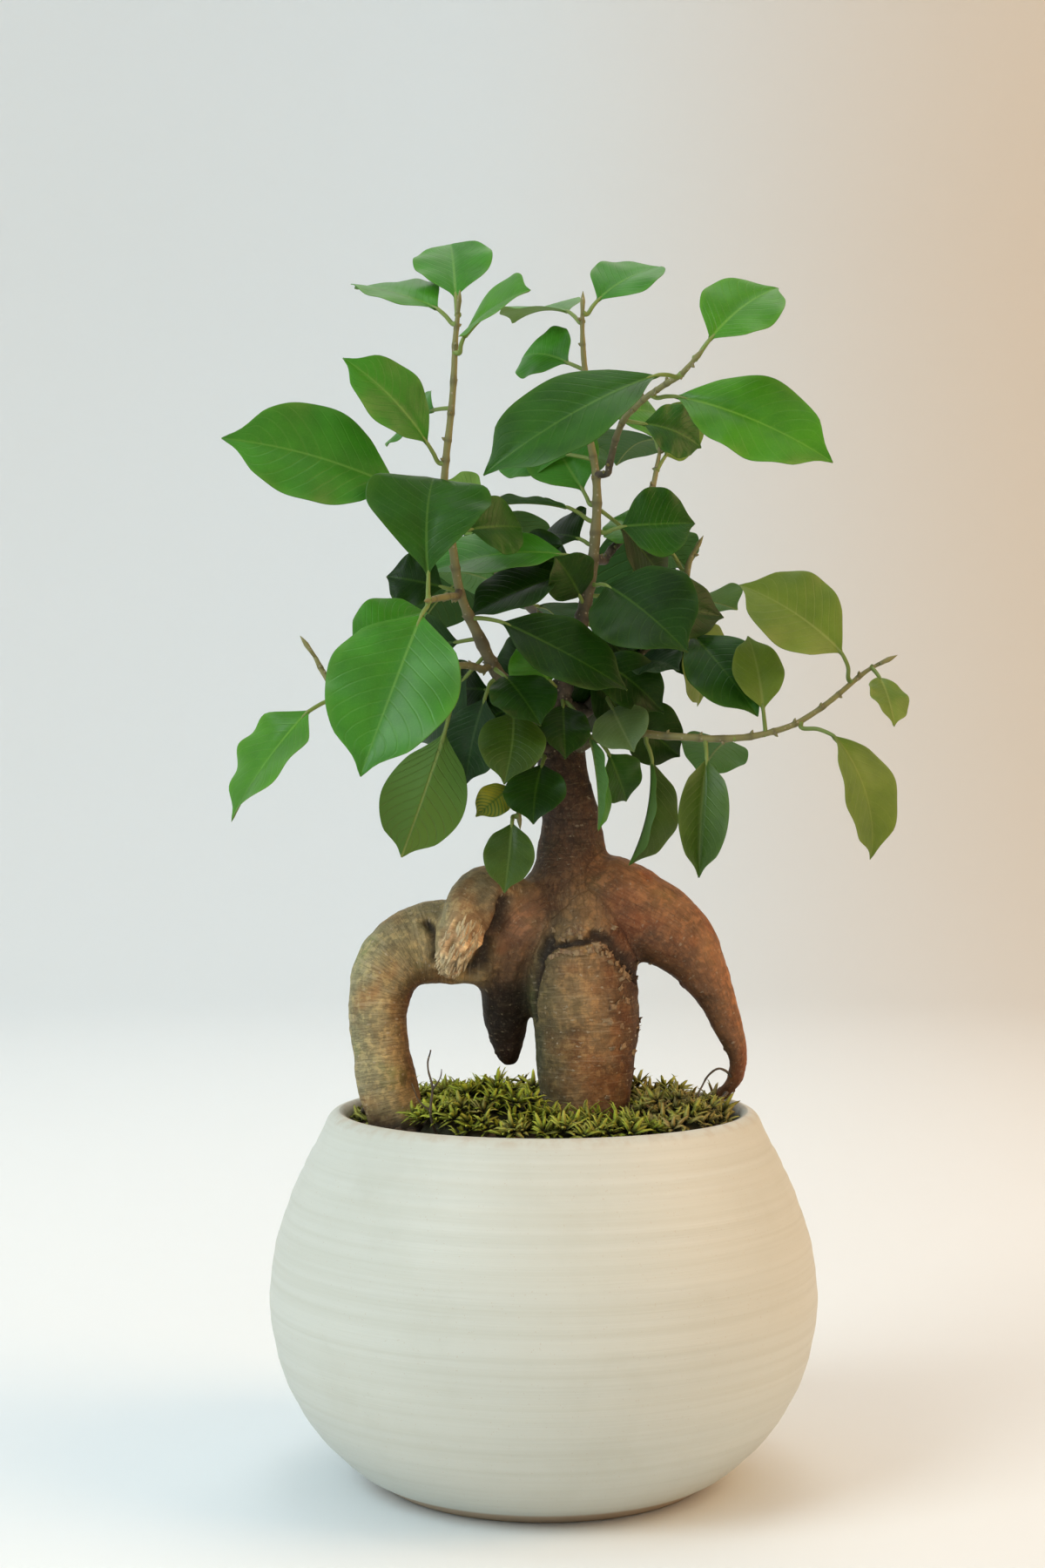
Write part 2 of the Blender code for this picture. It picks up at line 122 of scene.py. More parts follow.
class Paint:
    """A material while its nodes are being written."""

    def __init__(self, name: str) -> None:
        """Start a material with one Principled shader.

        Args:
            name: The material's name.
        """
        self.material = bpy.data.materials.new(name)
        self.material.use_nodes = True
        self.tree = self.material.node_tree
        self.shader = self.tree.nodes["Principled BSDF"]

    def feed(self, socket: NodeSocket, value: object) -> None:
        """Set one input socket, or link it.

        Args:
            socket: The input.
            value: A Signal, a number, or a colour or vector of three numbers.
        """
        if isinstance(value, Signal):
            self.tree.links.new(value.socket, socket)
        elif isinstance(value, tuple) and socket.type == "RGBA":
            socket.default_value = (*value, 1.0)
        else:
            socket.default_value = value

    def node(
        self, kind: str, settings: dict | None = None, inputs: dict | None = None,
        output: int | str = 0,
    ) -> Signal:
        """Add any node.

        Args:
            kind: The node's type.
            settings: Its properties, set before its sockets.
            inputs: A value or a Signal for each of its inputs, by name or number.
            output: Which output is wanted.

        Returns:
            That output.
        """
        made = self.tree.nodes.new(kind)
        for name, value in (settings or {}).items():
            setattr(made, name, value)
        for key, value in (inputs or {}).items():
            self.feed(made.inputs[key], value)
        return Signal(self, made.outputs[output])

    def math(self, operation: str, *values: "Signal | float") -> Signal:
        """A Math node for this operation on these values."""
        settings = {"operation": operation}
        return self.node("ShaderNodeMath", settings, dict(enumerate(values)))

    def mix(
        self, factor: "Signal | float", first: object, second: object, blend: str = "MIX",
    ) -> Signal:
        """Mix two colours.

        Args:
            factor: The second colour's share.
            first: A colour or a Signal.
            second: A colour or a Signal.
            blend: The way they mix.

        Returns:
            The mixed colour.
        """
        settings = {"data_type": "RGBA", "blend_type": blend, "clamp_factor": True}
        return self.node("ShaderNodeMix", settings, {0: factor, 6: first, 7: second}, 2)

    def place(self) -> Signal:
        """The point's own coordinates in metres."""
        return self.node("ShaderNodeTexCoord", output="Object")

    def axis(self, vector: Signal, name: str) -> Signal:
        """A vector's X, Y or Z."""
        return self.node("ShaderNodeSeparateXYZ", None, {0: vector}, name)

    def attribute(self, name: str, output: str = "Fac") -> Signal:
        """A value that the mesh holds on its corners."""
        return self.node("ShaderNodeAttribute", {"attribute_name": name}, output=output)

    def stretch(self, vector: Signal, scales: Point) -> Signal:
        """A vector with each of its axes scaled."""
        return self.node("ShaderNodeVectorMath", {"operation": "MULTIPLY"}, {0: vector, 1: scales})

    def noise(self, vector: Signal, scale: float, detail: float = 3.0) -> Signal:
        """Smooth noise from 0 to 1.

        Args:
            vector: Where the noise is read.
            scale: How many lumps there are to each unit of the vector.
            detail: How many finer layers are added.

        Returns:
            The noise.
        """
        inputs = {"Vector": vector, "Scale": scale, "Detail": detail, "Roughness": 0.6}
        return self.node("ShaderNodeTexNoise", None, inputs)

    def cells(self, vector: Signal, scale: float, feature: str = "F1") -> Signal:
        """Distances in Voronoi cells.

        Args:
            vector: Where the cells are read.
            scale: How many cells there are to each unit of the vector.
            feature: What the distance is measured to.

        Returns:
            The distance.
        """
        inputs = {"Vector": vector, "Scale": scale}
        return self.node("ShaderNodeTexVoronoi", {"feature": feature}, inputs, "Distance")

    def bump(self, height: Signal, depth: float) -> Signal:
        """A bumped normal.

        Args:
            height: The relief, about 0 to 1.
            depth: How deep the relief is, in millimetres.

        Returns:
            The normal.
        """
        inputs = {"Height": height, "Distance": depth * MM, "Strength": 1.0}
        return self.node("ShaderNodeBump", None, inputs, "Normal")

    def finish(self, **sockets: object) -> Material:
        """Set the Principled shader's sockets and end the material.

        Args:
            **sockets: A value for each socket, named with _ for each space.

        Returns:
            The material.
        """
        for name, value in sockets.items():
            self.feed(self.shader.inputs[name.replace("_", " ")], value)
        return self.material

    def let_light_through(self, share: float, colour: Colour) -> None:
        """Mix light from behind into the surface, as a thin leaf does.

        Args:
            share: How much of the light that is.
            colour: The colour that it takes on.
        """
        glow = self.node("ShaderNodeBsdfTranslucent", None, {"Color": colour})
        surface = Signal(self, self.shader.outputs[0])
        both = self.node("ShaderNodeMixShader", None, {0: share, 1: surface, 2: glow})
        end = self.tree.nodes["Material Output"]
        self.tree.links.new(both.socket, end.inputs["Surface"])


# --- Finishes ---


@dataclass(frozen=True)
class CeramicFinish:
    """Matt pale glaze over a thrown body."""

    glaze: Colour = (0.60, 0.61, 0.545)
    pooled: Colour = (0.49, 0.49, 0.405)
    clay: Colour = (0.46, 0.35, 0.24)
    stain: Colour = (0.22, 0.17, 0.11)
    lip_heights: tuple[float, float] = (0.1015, 0.1045)
    foot_heights: tuple[float, float] = (0.0042, 0.0028)

    def material(self) -> Material:
        """Write the glaze's nodes.

        Returns:
            The material.
        """
        paint = Paint("pale_glaze")
        place = paint.place()
        height = paint.axis(place, "Z")
        lines = paint.noise(paint.stretch(place, (6.0, 6.0, 620.0)), 1.0, 4.0)
        clouds = paint.noise(place, 38.0, 4.0)
        specks = paint.cells(place, 1400.0)
        speck_kind = paint.noise(place, 900.0, 1.0)
        colour = paint.mix(lines.rise(0.35, 0.75) * 0.35, self.glaze, self.pooled)
        colour = paint.mix(clouds.rise(0.45, 0.8) * 0.35, colour, self.pooled)
        dots = specks.rise(0.30, 0.12) * speck_kind.rise(0.58, 0.66)
        colour = paint.mix(dots * 0.45, colour, self.clay)
        lip = height.rise(*self.lip_heights)
        worn = paint.noise(place, 260.0, 3.0)
        colour = paint.mix(lip * worn.rise(0.4, 0.7) * 0.35, colour, self.clay)
        inside = paint.attribute("inside")
        damp = inside * (worn * 0.5 + 0.45)
        colour = paint.mix(damp * 0.5, colour, self.stain)
        foot = height.rise(*self.foot_heights)
        colour = paint.mix(foot, colour, self.clay)
        relief = lines * 0.8 + clouds * 0.15 + worn * 0.12
        return paint.finish(
            Base_Color=colour,
            Roughness=(0.46 + lines * 0.10 + foot * 0.3 + inside * 0.12),
            Normal=paint.bump(relief, 0.16),
            Specular_IOR_Level=0.45,
        )


@dataclass(frozen=True)
class SoilFinish:
    """Dark potting earth with clay grains."""

    dark: Colour = (0.020, 0.014, 0.009)
    brown: Colour = (0.075, 0.046, 0.026)
    grain: Colour = (0.20, 0.125, 0.07)

    def material(self) -> Material:
        """Write the earth's nodes.

        Returns:
            The material.
        """
        paint = Paint("earth")
        place = paint.place()
        vary = paint.attribute("vary")
        coarse = paint.noise(place, 210.0, 6.0)
        fine = paint.noise(place, 1500.0, 4.0)
        colour = paint.mix(coarse.rise(0.35, 0.7), self.dark, self.brown)
        colour = paint.mix(vary * fine.rise(0.2, 0.7), colour, self.grain)
        return paint.finish(
            Base_Color=colour,
            Roughness=0.97 - fine * 0.12,
            Normal=paint.bump(coarse * 0.7 + fine * 0.5, 0.7),
            Specular_IOR_Level=0.25,
        )


@dataclass(frozen=True)
class MossFinish:
    """Star moss: each blade's dark foot is painted shade down in the cushion; its bright tip is
    partly paler growth and partly painted highlight.
    """

    # Painted shade: the near-black foot of each blade, which the pad takes too, stands for shade in
    # the cushion.
    foot: Colour = (0.022, 0.022, 0.006)
    leafy: Colour = (0.270, 0.335, 0.018)
    # Partly the moss's paler young growth and partly painted highlight.
    tip: Colour = (0.68, 0.74, 0.085)
    dry: Colour = (0.33, 0.23, 0.115)

    def material(self) -> Material:
        """Write the moss's nodes.

        Returns:
            The material.
        """
        paint = Paint("star_moss")
        place = paint.place()
        blade = paint.attribute("blade")
        vary = paint.attribute("vary")
        dryness = paint.attribute("dry")
        # Painted shade at each blade's foot, leafy green above it, and the bright tip, partly
        # painted highlight.
        colour = paint.mix(blade.rise(0.10, 0.60), self.foot, self.leafy)
        colour = paint.mix(blade.rise(0.4, 1.0) * (vary * 0.85 + 0.15), colour, self.tip)
        patchy = paint.noise(place, 160.0, 2.0)
        browned = dryness * (patchy.rise(0.35, 0.6) * 0.5 + 0.4) * blade.rise(0.1, 0.6)
        colour = paint.mix(browned, colour, self.dry)
        return paint.finish(
            Base_Color=colour,
            Roughness=0.72 + vary * 0.15,
            Normal=paint.bump(paint.noise(place, 1800.0, 3.0), 0.25),
            Specular_IOR_Level=0.35,
        )


@dataclass(frozen=True)
class BarkFinish:
    """Fig bark: smooth skin with growth rings, pale flecks and flaking plates."""

    fleck: Colour = (0.46, 0.37, 0.24)
    crack: Colour = (0.014, 0.009, 0.006)
    soil: Colour = (0.035, 0.024, 0.015)
    shaded: Colour = (0.42, 0.37, 0.34)
    russet: Colour = (1.25, 0.80, 0.55)
    greenish: Colour = (0.80, 1.02, 0.70)
    # Painted highlight: a lighter copy of the skin's tint.
    painted_highlight: Colour = (1.75, 1.60, 1.40)
    spotted: Colour = (0.50, 0.46, 0.44)
    soil_heights: tuple[float, float] = (0.1085, 0.1010)

    def material(self) -> Material:
        """Write the bark's nodes.

        The mesh gives `tint`, the skin's colour with painted light and shade in it, `grain`, a
        place along and round the limb in millimetres, `flaky`, how much the skin flakes, and
        `banded`, how clear its rings are.

        Returns:
            The material.
        """
        paint = Paint("fig_bark")
        place = paint.place()
        tint = paint.attribute("tint", "Color")
        grain = paint.attribute("grain", "Vector")
        flaky = paint.attribute("flaky")
        banded = paint.attribute("banded")
        clouds = paint.noise(place, 120.0, 5.0)
        fine = paint.noise(place, 1300.0, 4.0)
        rings = paint.noise(paint.stretch(grain, (1.35, 0.10, 0.10)), 1.0, 4.0)
        strands = paint.noise(paint.stretch(grain, (0.09, 1.5, 1.5)), 1.0, 3.0)
        ring_lines = abs(rings - 0.5).rise(0.045, 0.0) * banded
        flecks = paint.cells(paint.stretch(grain, (0.62, 0.30, 0.30)), 1.0)
        fleck_kind = paint.noise(grain, 0.9, 1.0)
        dashes = flecks.rise(0.27, 0.13) * fleck_kind.rise(0.48, 0.60)
        plates = paint.cells(paint.stretch(grain, (0.30, 0.45, 0.45)), 1.0, "DISTANCE_TO_EDGE")
        cracks = plates.rise(0.085, 0.01) * flaky
        plate_tone = paint.noise(paint.stretch(grain, (0.5, 0.5, 0.5)), 1.0, 3.0)
        patches = paint.noise(place, 62.0, 2.0)
        mottle = paint.noise(place, 290.0, 3.0)
        colour = paint.mix(clouds.rise(0.35, 0.75) * 0.65, tint, self.shaded, "MULTIPLY")
        colour = paint.mix(patches.rise(0.48, 0.66) * 0.75, colour, self.russet, "MULTIPLY")
        colour = paint.mix(patches.rise(0.46, 0.30) * 0.60, colour, self.greenish, "MULTIPLY")
        # Painted highlight: the lighter copy is laid on plates, mottled patches and strands.
        light = paint.mix(1.0, tint, self.painted_highlight, "MULTIPLY")
        colour = paint.mix(plate_tone.rise(0.47, 0.68) * 0.65, colour, light)
        colour = paint.mix(mottle.rise(0.50, 0.34) * 0.36, colour, self.spotted, "MULTIPLY")
        colour = paint.mix(mottle.rise(0.56, 0.70) * 0.40, colour, light)
        lengthwise = 1 - banded
        colour = paint.mix(strands.rise(0.52, 0.7) * lengthwise * 0.40, colour, self.crack)
        colour = paint.mix(strands.rise(0.46, 0.3) * lengthwise * 0.35, colour, light)
        colour = paint.mix(fine.rise(0.52, 0.75) * 0.18, colour, self.fleck)
        colour = paint.mix(rings.rise(0.56, 0.66) * banded * 0.22, colour, self.fleck)
        colour = paint.mix(dashes * (0.30 + banded * 0.45), colour, self.fleck)
        colour = paint.mix(ring_lines * 0.34, colour, self.crack)
        colour = paint.mix(cracks * 0.50, colour, self.crack)
        height = paint.axis(place, "Z")
        dirt = height.rise(*self.soil_heights) * clouds.rise(0.2, 0.5)
        colour = paint.mix(dirt, colour, self.soil)
        relief = rings * 0.35 * banded + clouds * 0.3 + fine * 0.22 + dashes * 0.22
        relief = relief - ring_lines * 0.12 - cracks * 0.45 + strands * 0.15
        return paint.finish(
            Base_Color=colour,
            Roughness=0.52 + fine * 0.20 + flaky * 0.15,
            Normal=paint.bump(relief + mottle * 0.2, 0.38),
            Specular_IOR_Level=0.30,
        )


@dataclass(frozen=True)
class StemFinish:
    """A young shoot: grey-brown skin at its root and green skin at its tip."""

    woody: Colour = (0.120, 0.090, 0.058)
    dark: Colour = (0.030, 0.022, 0.015)
    young: Colour = (0.215, 0.205, 0.070)
    dot: Colour = (0.40, 0.34, 0.24)

    def material(self) -> Material:
        """Write the shoot's nodes.

        Returns:
            The material.
        """
        paint = Paint("shoot_skin")
        place = paint.place()
        along = paint.attribute("along")
        joint = paint.attribute("joint")
        clouds = paint.noise(place, 240.0, 4.0)
        fine = paint.noise(place, 1900.0, 3.0)
        dots = paint.cells(place, 620.0).rise(0.26, 0.12) * clouds.rise(0.4, 0.55)
        colour = paint.mix(clouds.rise(0.35, 0.7), self.woody, self.dark)
        youth = along.rise(0.30, 0.85) * (clouds * 0.5 + 0.7)
        colour = paint.mix(youth, colour, self.young)
        colour = paint.mix(dots * 0.7, colour, self.dot)
        colour = paint.mix(joint * 0.45, colour, self.dark)
        return paint.finish(
            Base_Color=colour,
            Roughness=0.62 + fine * 0.15 - youth * 0.15,
            Normal=paint.bump(clouds * 0.4 + fine * 0.4 + dots * 0.4, 0.22),
        )


@dataclass(frozen=True)
class Tone:
    """The colours of one kind of leaf."""

    face: Colour
    shade: Colour
    vein: Colour
    back: Colour
    gloss: float = 0.34
    shine: float = 0.30
    stripes: float = 0.0
    glow: float = 0.16


class LeafTone(Enum):
    """The kinds of leaf on the tree."""

    MID = Tone(
        (0.052, 0.265, 0.012), (0.034, 0.175, 0.008), (0.15, 0.35, 0.05), (0.095, 0.225, 0.045),
    )
    FRESH = Tone(
        (0.070, 0.280, 0.006), (0.045, 0.200, 0.005), (0.18, 0.40, 0.04), (0.16, 0.28, 0.04),
        gloss=0.32,
    )
    RICH = Tone(
        (0.025, 0.115, 0.005), (0.014, 0.068, 0.003), (0.09, 0.21, 0.025), (0.055, 0.150, 0.028),
        shine=0.2,
    )
    # A near-black green: partly a leaf's own darker green and mostly painted shade, for leaves that
    # lie in shade in the crown.
    DARK_IN_SHADE = Tone(
        (0.014, 0.056, 0.004), (0.007, 0.029, 0.002), (0.06, 0.14, 0.015), (0.038, 0.105, 0.022),
        shine=0.15,
    )
    BLUISH = Tone(
        (0.032, 0.085, 0.028), (0.016, 0.045, 0.015), (0.08, 0.15, 0.05), (0.07, 0.12, 0.04),
        gloss=0.28, shine=0.2,
    )
    OLIVE = Tone(
        (0.056, 0.125, 0.010), (0.034, 0.080, 0.007), (0.14, 0.23, 0.05), (0.090, 0.195, 0.028),
    )
    GOLDEN = Tone(
        (0.180, 0.280, 0.028), (0.110, 0.195, 0.018), (0.30, 0.38, 0.09), (0.24, 0.31, 0.06),
        gloss=0.38, glow=0.26,
    )
    PALE = Tone(
        (0.110, 0.190, 0.055), (0.075, 0.135, 0.035), (0.24, 0.32, 0.12), (0.115, 0.225, 0.075),
        gloss=0.42, glow=0.22,
    )
    STRIPED = Tone(
        (0.300, 0.290, 0.022), (0.190, 0.210, 0.016), (0.05, 0.13, 0.014), (0.26, 0.26, 0.05),
        stripes=1.0,
    )


@dataclass(frozen=True)
class LeafFinish:
    """A leaf's skin with its midrib, side veins, speckle and soft gloss."""

    tone: LeafTone
    vein_pairs: float = 12.0
    stalk: Colour = (0.22, 0.30, 0.075)
    scorched: Colour = (0.12, 0.11, 0.03)

    def material(self) -> Material:
        """Write the leaf's nodes.

        The mesh gives `along` and `across` the blade, `offset`, the distance from the midrib in
        millimetres, `under` on the underside, `stalk` on the stalk, and `vary`, the leaf's own.

        Returns:
            The material.
        """
        kind = self.tone.value
        paint = Paint(f"leaf_{self.tone.name.lower()}")
        place = paint.place()
        along = paint.attribute("along")
        side = abs(paint.attribute("across"))
        offset = abs(paint.attribute("offset"))
        under = paint.attribute("under")
        vary = paint.attribute("vary")
        clouds = paint.noise(place, 75.0, 3.0)
        speckle = paint.noise(place, 2300.0, 2.0)
        sweep = along * self.vein_pairs - side * 2.3 - side * side * 0.9
        comb = abs(paint.math("FRACT", sweep + vary * 3.0 + clouds * 0.5) - 0.5)
        veins = comb.rise(0.12, 0.0) * side.rise(1.0, 0.8) * along.rise(0.0, 0.08)
        veins = veins * along.rise(1.0, 0.85)
        midrib = (offset + along * 0.25).rise(0.62, 0.22)
        colour = paint.mix(clouds.rise(0.3, 0.7) * 0.8 + vary * 0.25, kind.face, kind.shade)
        colour = paint.mix(speckle.rise(0.4, 0.8) * 0.18, colour, kind.vein)
        colour = paint.mix(side.rise(0.80, 1.0) * 0.25, colour, kind.vein)
        bands = comb.rise(0.34, 0.10) * clouds.rise(0.30, 0.5) * kind.stripes
        colour = paint.mix(veins * (0.13 + kind.stripes * 0.5) + bands * 0.7, colour, kind.vein)
        colour = paint.mix(midrib * (0.75 - along * 0.35), colour, kind.vein)
        rough_back = paint.mix(veins * 0.5, kind.back, kind.vein)
        rough_back = paint.mix(midrib, rough_back, self.stalk)
        colour = paint.mix(under, colour, rough_back)
        scorch = paint.noise(place, 420.0, 3.0)
        colour = paint.mix(scorch.rise(0.74, 0.82) * 0.35, colour, self.scorched)
        colour = paint.mix(paint.attribute("stalk"), colour, self.stalk)
        relief = speckle * 0.08 - veins * 0.28 + clouds * 0.25 + under * (veins + midrib) * 1.2
        paint.finish(
            Base_Color=colour,
            Roughness=kind.gloss + clouds * 0.08 + speckle * 0.05 + under * 0.22,
            Normal=paint.bump(relief, 0.20),
            Specular_IOR_Level=kind.shine,
            Coat_Weight=(1 - under) * 0.08,
            Coat_Roughness=0.22,
        )
        paint.let_light_through(kind.glow, kind.vein)
        return paint.material


@dataclass(frozen=True)
class WoodFinish:
    """Torn or curled wood and bark: tan strands, pale where it has broken."""

    pale: Colour = (0.62, 0.51, 0.31)
    tan: Colour = (0.36, 0.24, 0.12)
    dirt: Colour = (0.07, 0.04, 0.02)

    def material(self, name: str) -> Material:
        """Write the wood's nodes.

        Args:
            name: The material's name.

        Returns:
            The material.
        """
        paint = Paint(name)
        place = paint.place()
        strands = paint.noise(paint.stretch(place, (1500.0, 1500.0, 350.0)), 1.0, 3.0)
        clouds = paint.noise(place, 330.0, 4.0)
        colour = paint.mix(strands.rise(0.35, 0.7), self.pale, self.tan)
        colour = paint.mix(clouds.rise(0.5, 0.8) * 0.5, colour, self.dirt)
        return paint.finish(
            Base_Color=colour,
            Roughness=0.72 + clouds * 0.15,
            Normal=paint.bump(strands * 0.7 + clouds * 0.4, 0.3),
        )


@dataclass(frozen=True)
class FloorFinish:
    """A plain pale studio floor with painted light: a little cooler on its left, as under the cool
    window, and warmer on its right, as under the warm lamp.
    """

    # Painted light: the cool window light on the left and the warm lamp light on the right.
    cool: Colour = (0.79, 0.85, 0.88)
    warm: Colour = (0.78, 0.62, 0.47)
    fleck: Colour = (0.70, 0.70, 0.69)
    turn_warm: tuple[float, float] = (-0.15, 0.80)

    def material(self) -> Material:
        """Write the floor's nodes.

        Returns:
            The material.
        """
        paint = Paint("studio_paper")
        place = paint.place()
        grain = paint.noise(place, 90.0, 2.0)
        across = paint.axis(place, "X")
        # Painted light: the floor's colour turns from the cool light on the left to the warm light
        # on the right.
        colour = paint.mix(across.rise(*self.turn_warm), self.cool, self.warm)
        colour = paint.mix(grain * 0.04, colour, self.fleck)
        return paint.finish(Base_Color=colour, Roughness=0.9, Specular_IOR_Level=0.2)


# --- Mesh making ---


class Shape:
    """Corners and faces in millimetres, gathered for one mesh, with values on the corners."""

    def __init__(self) -> None:
        """Start with nothing in it."""
        self.points: list[Array] = []
        self.faces: list[tuple[int, ...]] = []
        self.values: list[dict[str, Array | float]] = []
        self.count = 0

    def add(self, points: Array, faces: Iterable, **values: "Array | float") -> None:
        """Add a block of corners and faces.

        Args:
            points: The corners, one row each.
            faces: Each face as the numbers of its corners in this block.
            **values: A number for each corner, or one for all. Two axes make a vector.
        """
        self.faces.extend(tuple(int(i) + self.count for i in face) for face in faces)
        self.points.append(np.asarray(points, float))
        self.values.append(values)
        self.count += len(points)

    def attribute(self, name: str) -> Array:
        """One named value on every corner.

        Args:
            name: The value's name.

        Returns:
            A row for each corner, 0 where a block doesn't give the value.
        """
        blocks = []
        width = 1
        for points, values in zip(self.points, self.values):
            value = np.asarray(values.get(name, 0.0), float)
            if value.ndim < 2:
                value = np.broadcast_to(value, (len(points),)).reshape(-1, 1)
            width = max(width, value.shape[1])
            blocks.append(value)
        return np.vstack([np.broadcast_to(block, (len(block), width)) for block in blocks])

    def mesh(self, name: str, mend: bool = False) -> Mesh:
        """Make the mesh.

        Args:
            name: The mesh's name.
            mend: Turn all the faces outwards, for closed shapes.

        Returns:
            The mesh, in metres, smoothly shaded.
        """
        data = bpy.data.meshes.new(name)
        data.from_pydata((np.vstack(self.points) * MM).tolist(), [], self.faces)
        if mend:
            shape = bmesh.new()
            shape.from_mesh(data)
            bmesh.ops.recalc_face_normals(shape, faces=shape.faces)
            shape.to_mesh(data)
            shape.free()
        for key in sorted({key for values in self.values for key in values}):
            numbers = self.attribute(key)
            vector = numbers.shape[1] == 3
            layer = data.attributes.new(key, "FLOAT_VECTOR" if vector else "FLOAT", "POINT")
            layer.data.foreach_set("vector" if vector else "value", numbers.ravel())
        data.shade_smooth()
        return data


def in_scene(name: str, data: ID) -> Object:
    """Make an object and link it to the scene.

    Args:
        name: The object's name.
        data: Its mesh, lamp or camera.

    Returns:
        The object.
    """
    thing = bpy.data.objects.new(name, data)
    bpy.context.scene.collection.objects.link(thing)
    return thing


@dataclass(frozen=True)
class Dress:
    """How a finished mesh becomes a piece of the tree."""

    material: Material
    slot: str
    replaces: tuple[str, ...] = ()

    def piece(self, name: str, data: Mesh) -> Object:
        """Make the piece.

        Args:
            name: The piece's name.
            data: Its mesh.

        Returns:
            The object, riding on the frame's one body.
        """
        thing = in_scene(name, data)
        data.materials.append(self.material)
        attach(thing, "root")
        if self.replaces:
            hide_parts(*self.replaces)
        LOG.info("%s: %d faces, %s", name, len(data.polygons), self.slot)
        return thing


def wobble(points: Array, size: float, seed: float = 0.0) -> Array:
    """Smooth noise on points.

    Args:
        points: The points, one row each.
        size: About how wide its lumps are.
        seed: A different number gives a different noise.

    Returns:
        A value from -1 to 1 for each point.
    """
    places = (points / size + np.array((seed * 7.3, seed * 3.1, seed * 5.7))).tolist()
    return np.array([noise.noise(place) for place in places])


def smooth(points: Array, steps: int) -> Array:
    """Points on a Catmull-Rom curve.

    Args:
        points: The points it goes through, one row each, with any values beside them.
        steps: How many steps there are from each point to the next.

    Returns:
        The finer row of points.
    """
    points = np.asarray(points, float)
    ends = np.vstack([2 * points[0] - points[1], points, 2 * points[-1] - points[-2]])
    a, b, c, d = ends[:-3], ends[1:-2], ends[2:-1], ends[3:]
    t = (np.arange(steps) / steps)[None, :, None]
    a, b, c, d = (row[:, None, :] for row in (a, b, c, d))
    curve = b + 0.5 * t * (c - a + t * (2 * a - 5 * b + 4 * c - d + t * (3 * (b - c) + d - a)))
    return np.vstack([curve.reshape(-1, points.shape[1]), points[-1:]])


def unit(vectors: Array) -> Array:
    """Each vector at length 1."""
    return vectors / np.maximum(np.linalg.norm(vectors, axis=-1, keepdims=True), 1e-9)


def lengths_along(path: Array) -> Array:
    """How far each point of a path is from its start."""
    return np.concatenate([[0.0], np.cumsum(np.linalg.norm(np.diff(path, axis=0), axis=1))])


def grid_faces(rows: int, columns: int, closed: bool = False, start: int = 0) -> list:
    """The four-sided faces of a grid of corners.

    Args:
        rows: How many rows of corners it has.
        columns: How many corners are in a row.
        closed: Whether each row joins up into a ring.
        start: The number of its first corner.

    Returns:
        Each face as four corner numbers.
    """
    across = np.arange(columns if closed else columns - 1)
    row = np.arange(rows - 1)[:, None] * columns + start
    near, far = row + across, row + (across + 1) % columns
    return np.stack([near, far, far + columns, near + columns], axis=-1).reshape(-1, 4).tolist()


def tube(path: Array, radii: Array, sides: int) -> tuple[Array, list]:
    """A closed tube along a path.

    Args:
        path: Its middle line.
        radii: Its radius at each point, or at each corner of each ring.
        sides: How many sides it has.

    Returns:
        Its corners, ring after ring with the two end points last, and its faces.
    """
    ahead = unit(np.gradient(path, axis=0))
    start = np.cross(ahead[0], (0.31, 0.95, 0.12))
    sideways = np.empty_like(ahead)
    for i, way in enumerate(ahead):
        start = unit(start - way * (start @ way))
        sideways[i] = start
    other = np.cross(ahead, sideways)
    turn = np.arange(sides) * math.tau / sides
    spoke = np.cos(turn)[:, None] * sideways[:, None] + np.sin(turn)[:, None] * other[:, None]
    radii = np.broadcast_to(np.reshape(radii, (len(path), -1)), (len(path), sides))
    rings = path[:, None] + spoke * radii[..., None]
    points = np.vstack([rings.reshape(-1, 3), path[:1], path[-1:]])
    last = (len(path) - 1) * sides
    first_end, last_end = len(points) - 2, len(points) - 1
    faces = [face[::-1] for face in grid_faces(len(path), sides, closed=True)]
    faces += [(first_end, i, (i + 1) % sides) for i in range(sides)]
    faces += [(last_end, last + (i + 1) % sides, last + i) for i in range(sides)]
    return points, faces


def rows_of(node: str) -> Array:
    """A stem's rings or a leaf's rows, read back from its CAD solid.

    Both have six corners to a row and are thinnest at the tip, so the rows are found from the
    six corners that are closest together.

    Args:
        node: The CAD node.

    Returns:
        The corners as rows of six, from the root to the tip.

    Raises:
        ValueError: The solid isn't made of rows of six.
    """
    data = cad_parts[node].data
    corners = np.empty(len(data.vertices) * 3)
    data.vertices.foreach_get("co", corners)
    rounded = np.round(corners.reshape(-1, 3) / MM, 3)
    points, number = np.unique(rounded, axis=0, return_inverse=True)
    number = number.reshape(-1)
    near = [set() for _ in points]
    for face in data.polygons:
        ring = [int(number[i]) for i in face.vertices]
        for one in ring:
            near[one].update(ring)
    gaps = np.linalg.norm(points[:, None] - points[None], axis=2)
    closest = np.argsort(gaps, axis=1)[:, :ROW_CORNERS]
    tip = closest[np.argmin(np.sort(gaps, axis=1)[:, ROW_CORNERS - 1])]
    rows, seen = [list(tip)], {int(i) for i in tip}
    while len(seen) < len(points):
        following = sorted(set().union(*(near[i] for i in rows[-1])) - seen)
        if len(following) != ROW_CORNERS:
            raise ValueError(f"{node} isn't made of rows of {ROW_CORNERS} corners")
        rows.append(following)
        seen.update(following)
    return points[np.array(rows[::-1])]


